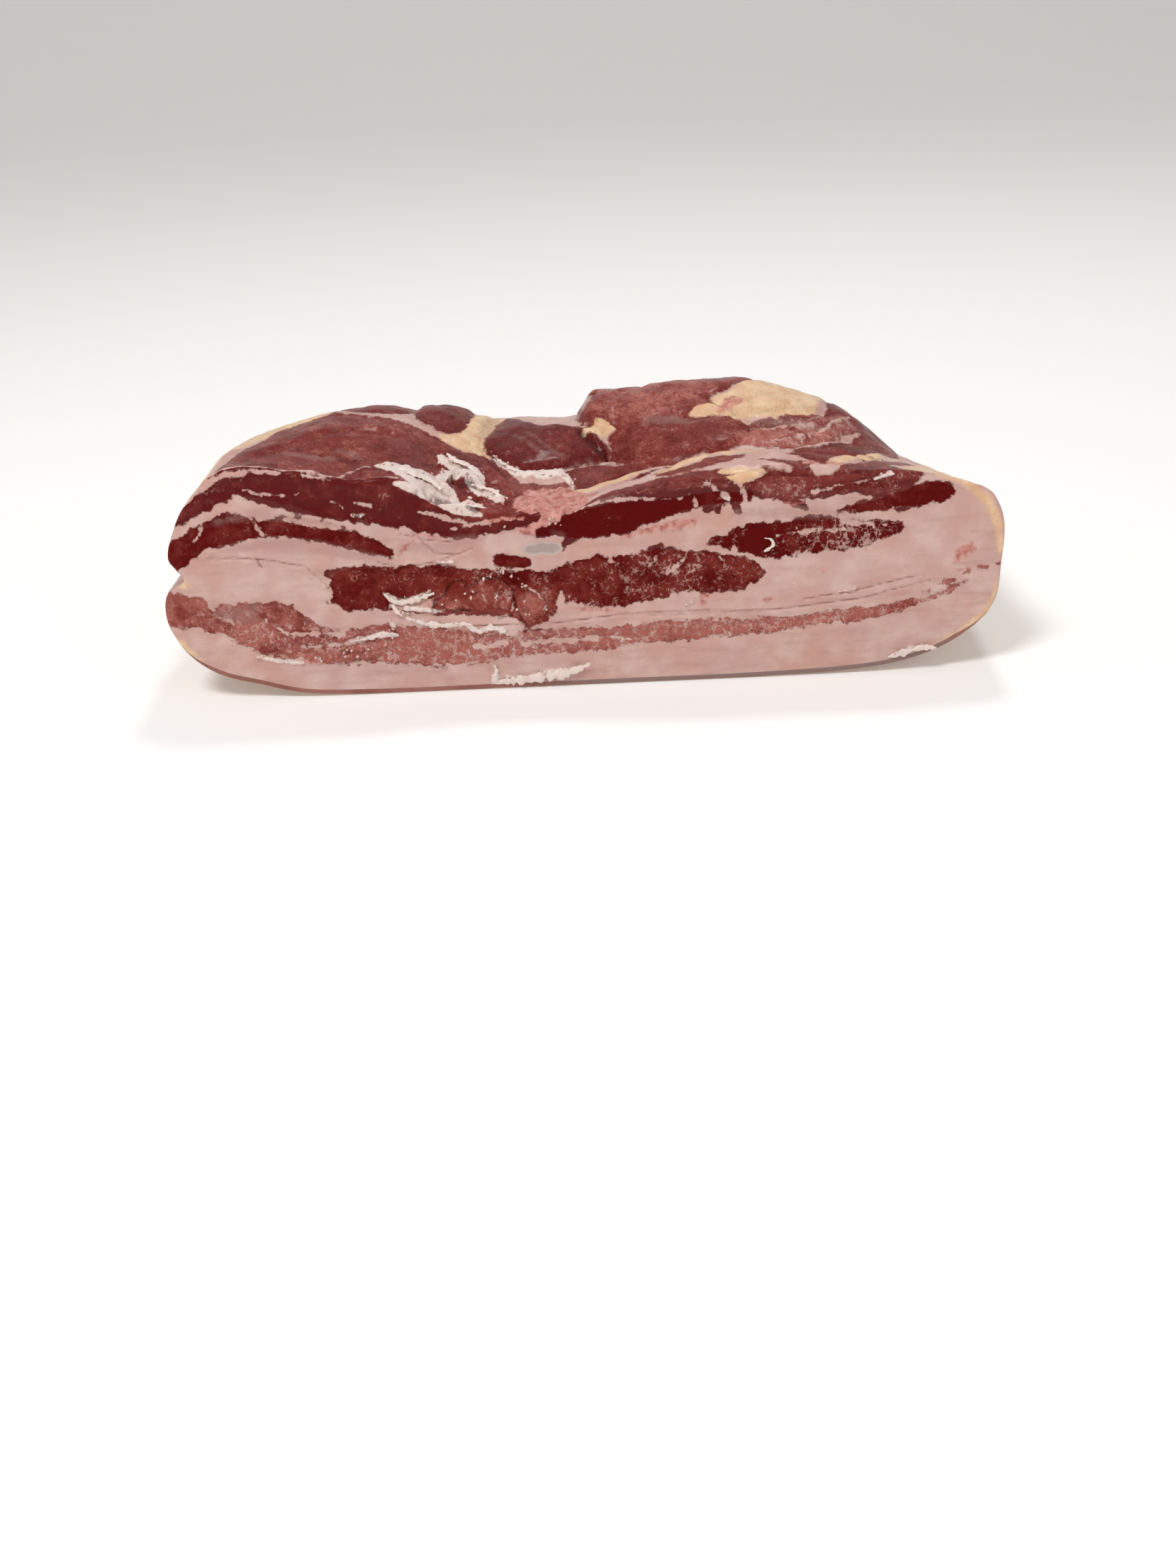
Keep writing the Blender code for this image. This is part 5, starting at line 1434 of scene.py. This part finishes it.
def makeStage():
    angles = np.linspace(0, math.pi / 2, 13)
    profile = [(-4000.0, 0.0)]
    wallAt, bend, wallHeight = (1000 * stage[key] for key in ("wallAt", "bend", "wallHeight"))
    profile += [(wallAt + bend * math.sin(a), bend * (1 - math.cos(a))) for a in angles]
    profile += [(profile[-1][0], wallHeight)]
    points = [(x, y, z) for y, z in profile for x in (-4000, 4000)]
    floor = meshObject("floor", points, [(k, k + 1, k + 3, k + 2) for k in range(0, len(points) - 2, 2)])
    floor.data.shade_smooth()
    paper, add = blankMaterial("palePaper")
    shader = add("ShaderNodeBsdfPrincipled", {
        "Base Color": stage["paper"], "Roughness": 0.9, "Specular IOR Level": 0.1,
        "Emission Color": stage["paper"], "Emission Strength": stage["paperGlow"]})
    add("ShaderNodeOutputMaterial", {"Surface": shader})
    floor.data.materials.append(paper)
    world = bpy.data.worlds.new("room")
    world.use_nodes = True
    world.node_tree.nodes["Background"].inputs[0].default_value = linear(stage["room"])
    world.node_tree.nodes["Background"].inputs[1].default_value = stage["roomStrength"]
    bpy.context.scene.world = world
    for which in ("key", "fill", "rim"):
        softLight(which, stage[which + "Place"], stage[which + "Size"], stage[which + "Power"])
    bpy.context.scene.view_settings.view_transform = "Standard"


# The camera, found from the photograph's 1659 x 2212 frame: its focal length in pixels and its turn.
camera = {
    "place": (0.0, -0.6158, 0.2372), "focalPixels": 2600.0, "framePixels": (1659, 2212),
    "turn": -0.18, "pitch": -25.88, "roll": -2.6,
}


def makeCamera():
    lens = bpy.data.cameras.new("camera")
    lens.sensor_fit = "VERTICAL"
    lens.sensor_height = 36.0
    lens.lens = camera["focalPixels"] / camera["framePixels"][1] * lens.sensor_height
    lens.clip_start = 0.01
    made = bpy.data.objects.new("camera", lens)
    bpy.context.scene.collection.objects.link(made)
    turn, pitch, roll = (math.radians(camera[key]) for key in ("turn", "pitch", "roll"))
    upright = Matrix.Rotation(-turn, 4, "Z") @ Matrix.Rotation(math.pi / 2 + pitch, 4, "X")
    made.matrix_world = Matrix.Translation(camera["place"]) @ upright @ Matrix.Rotation(roll, 4, "Z")
    bpy.context.scene.camera = made


makeStage()
makeCamera()
print("stage and camera ready")
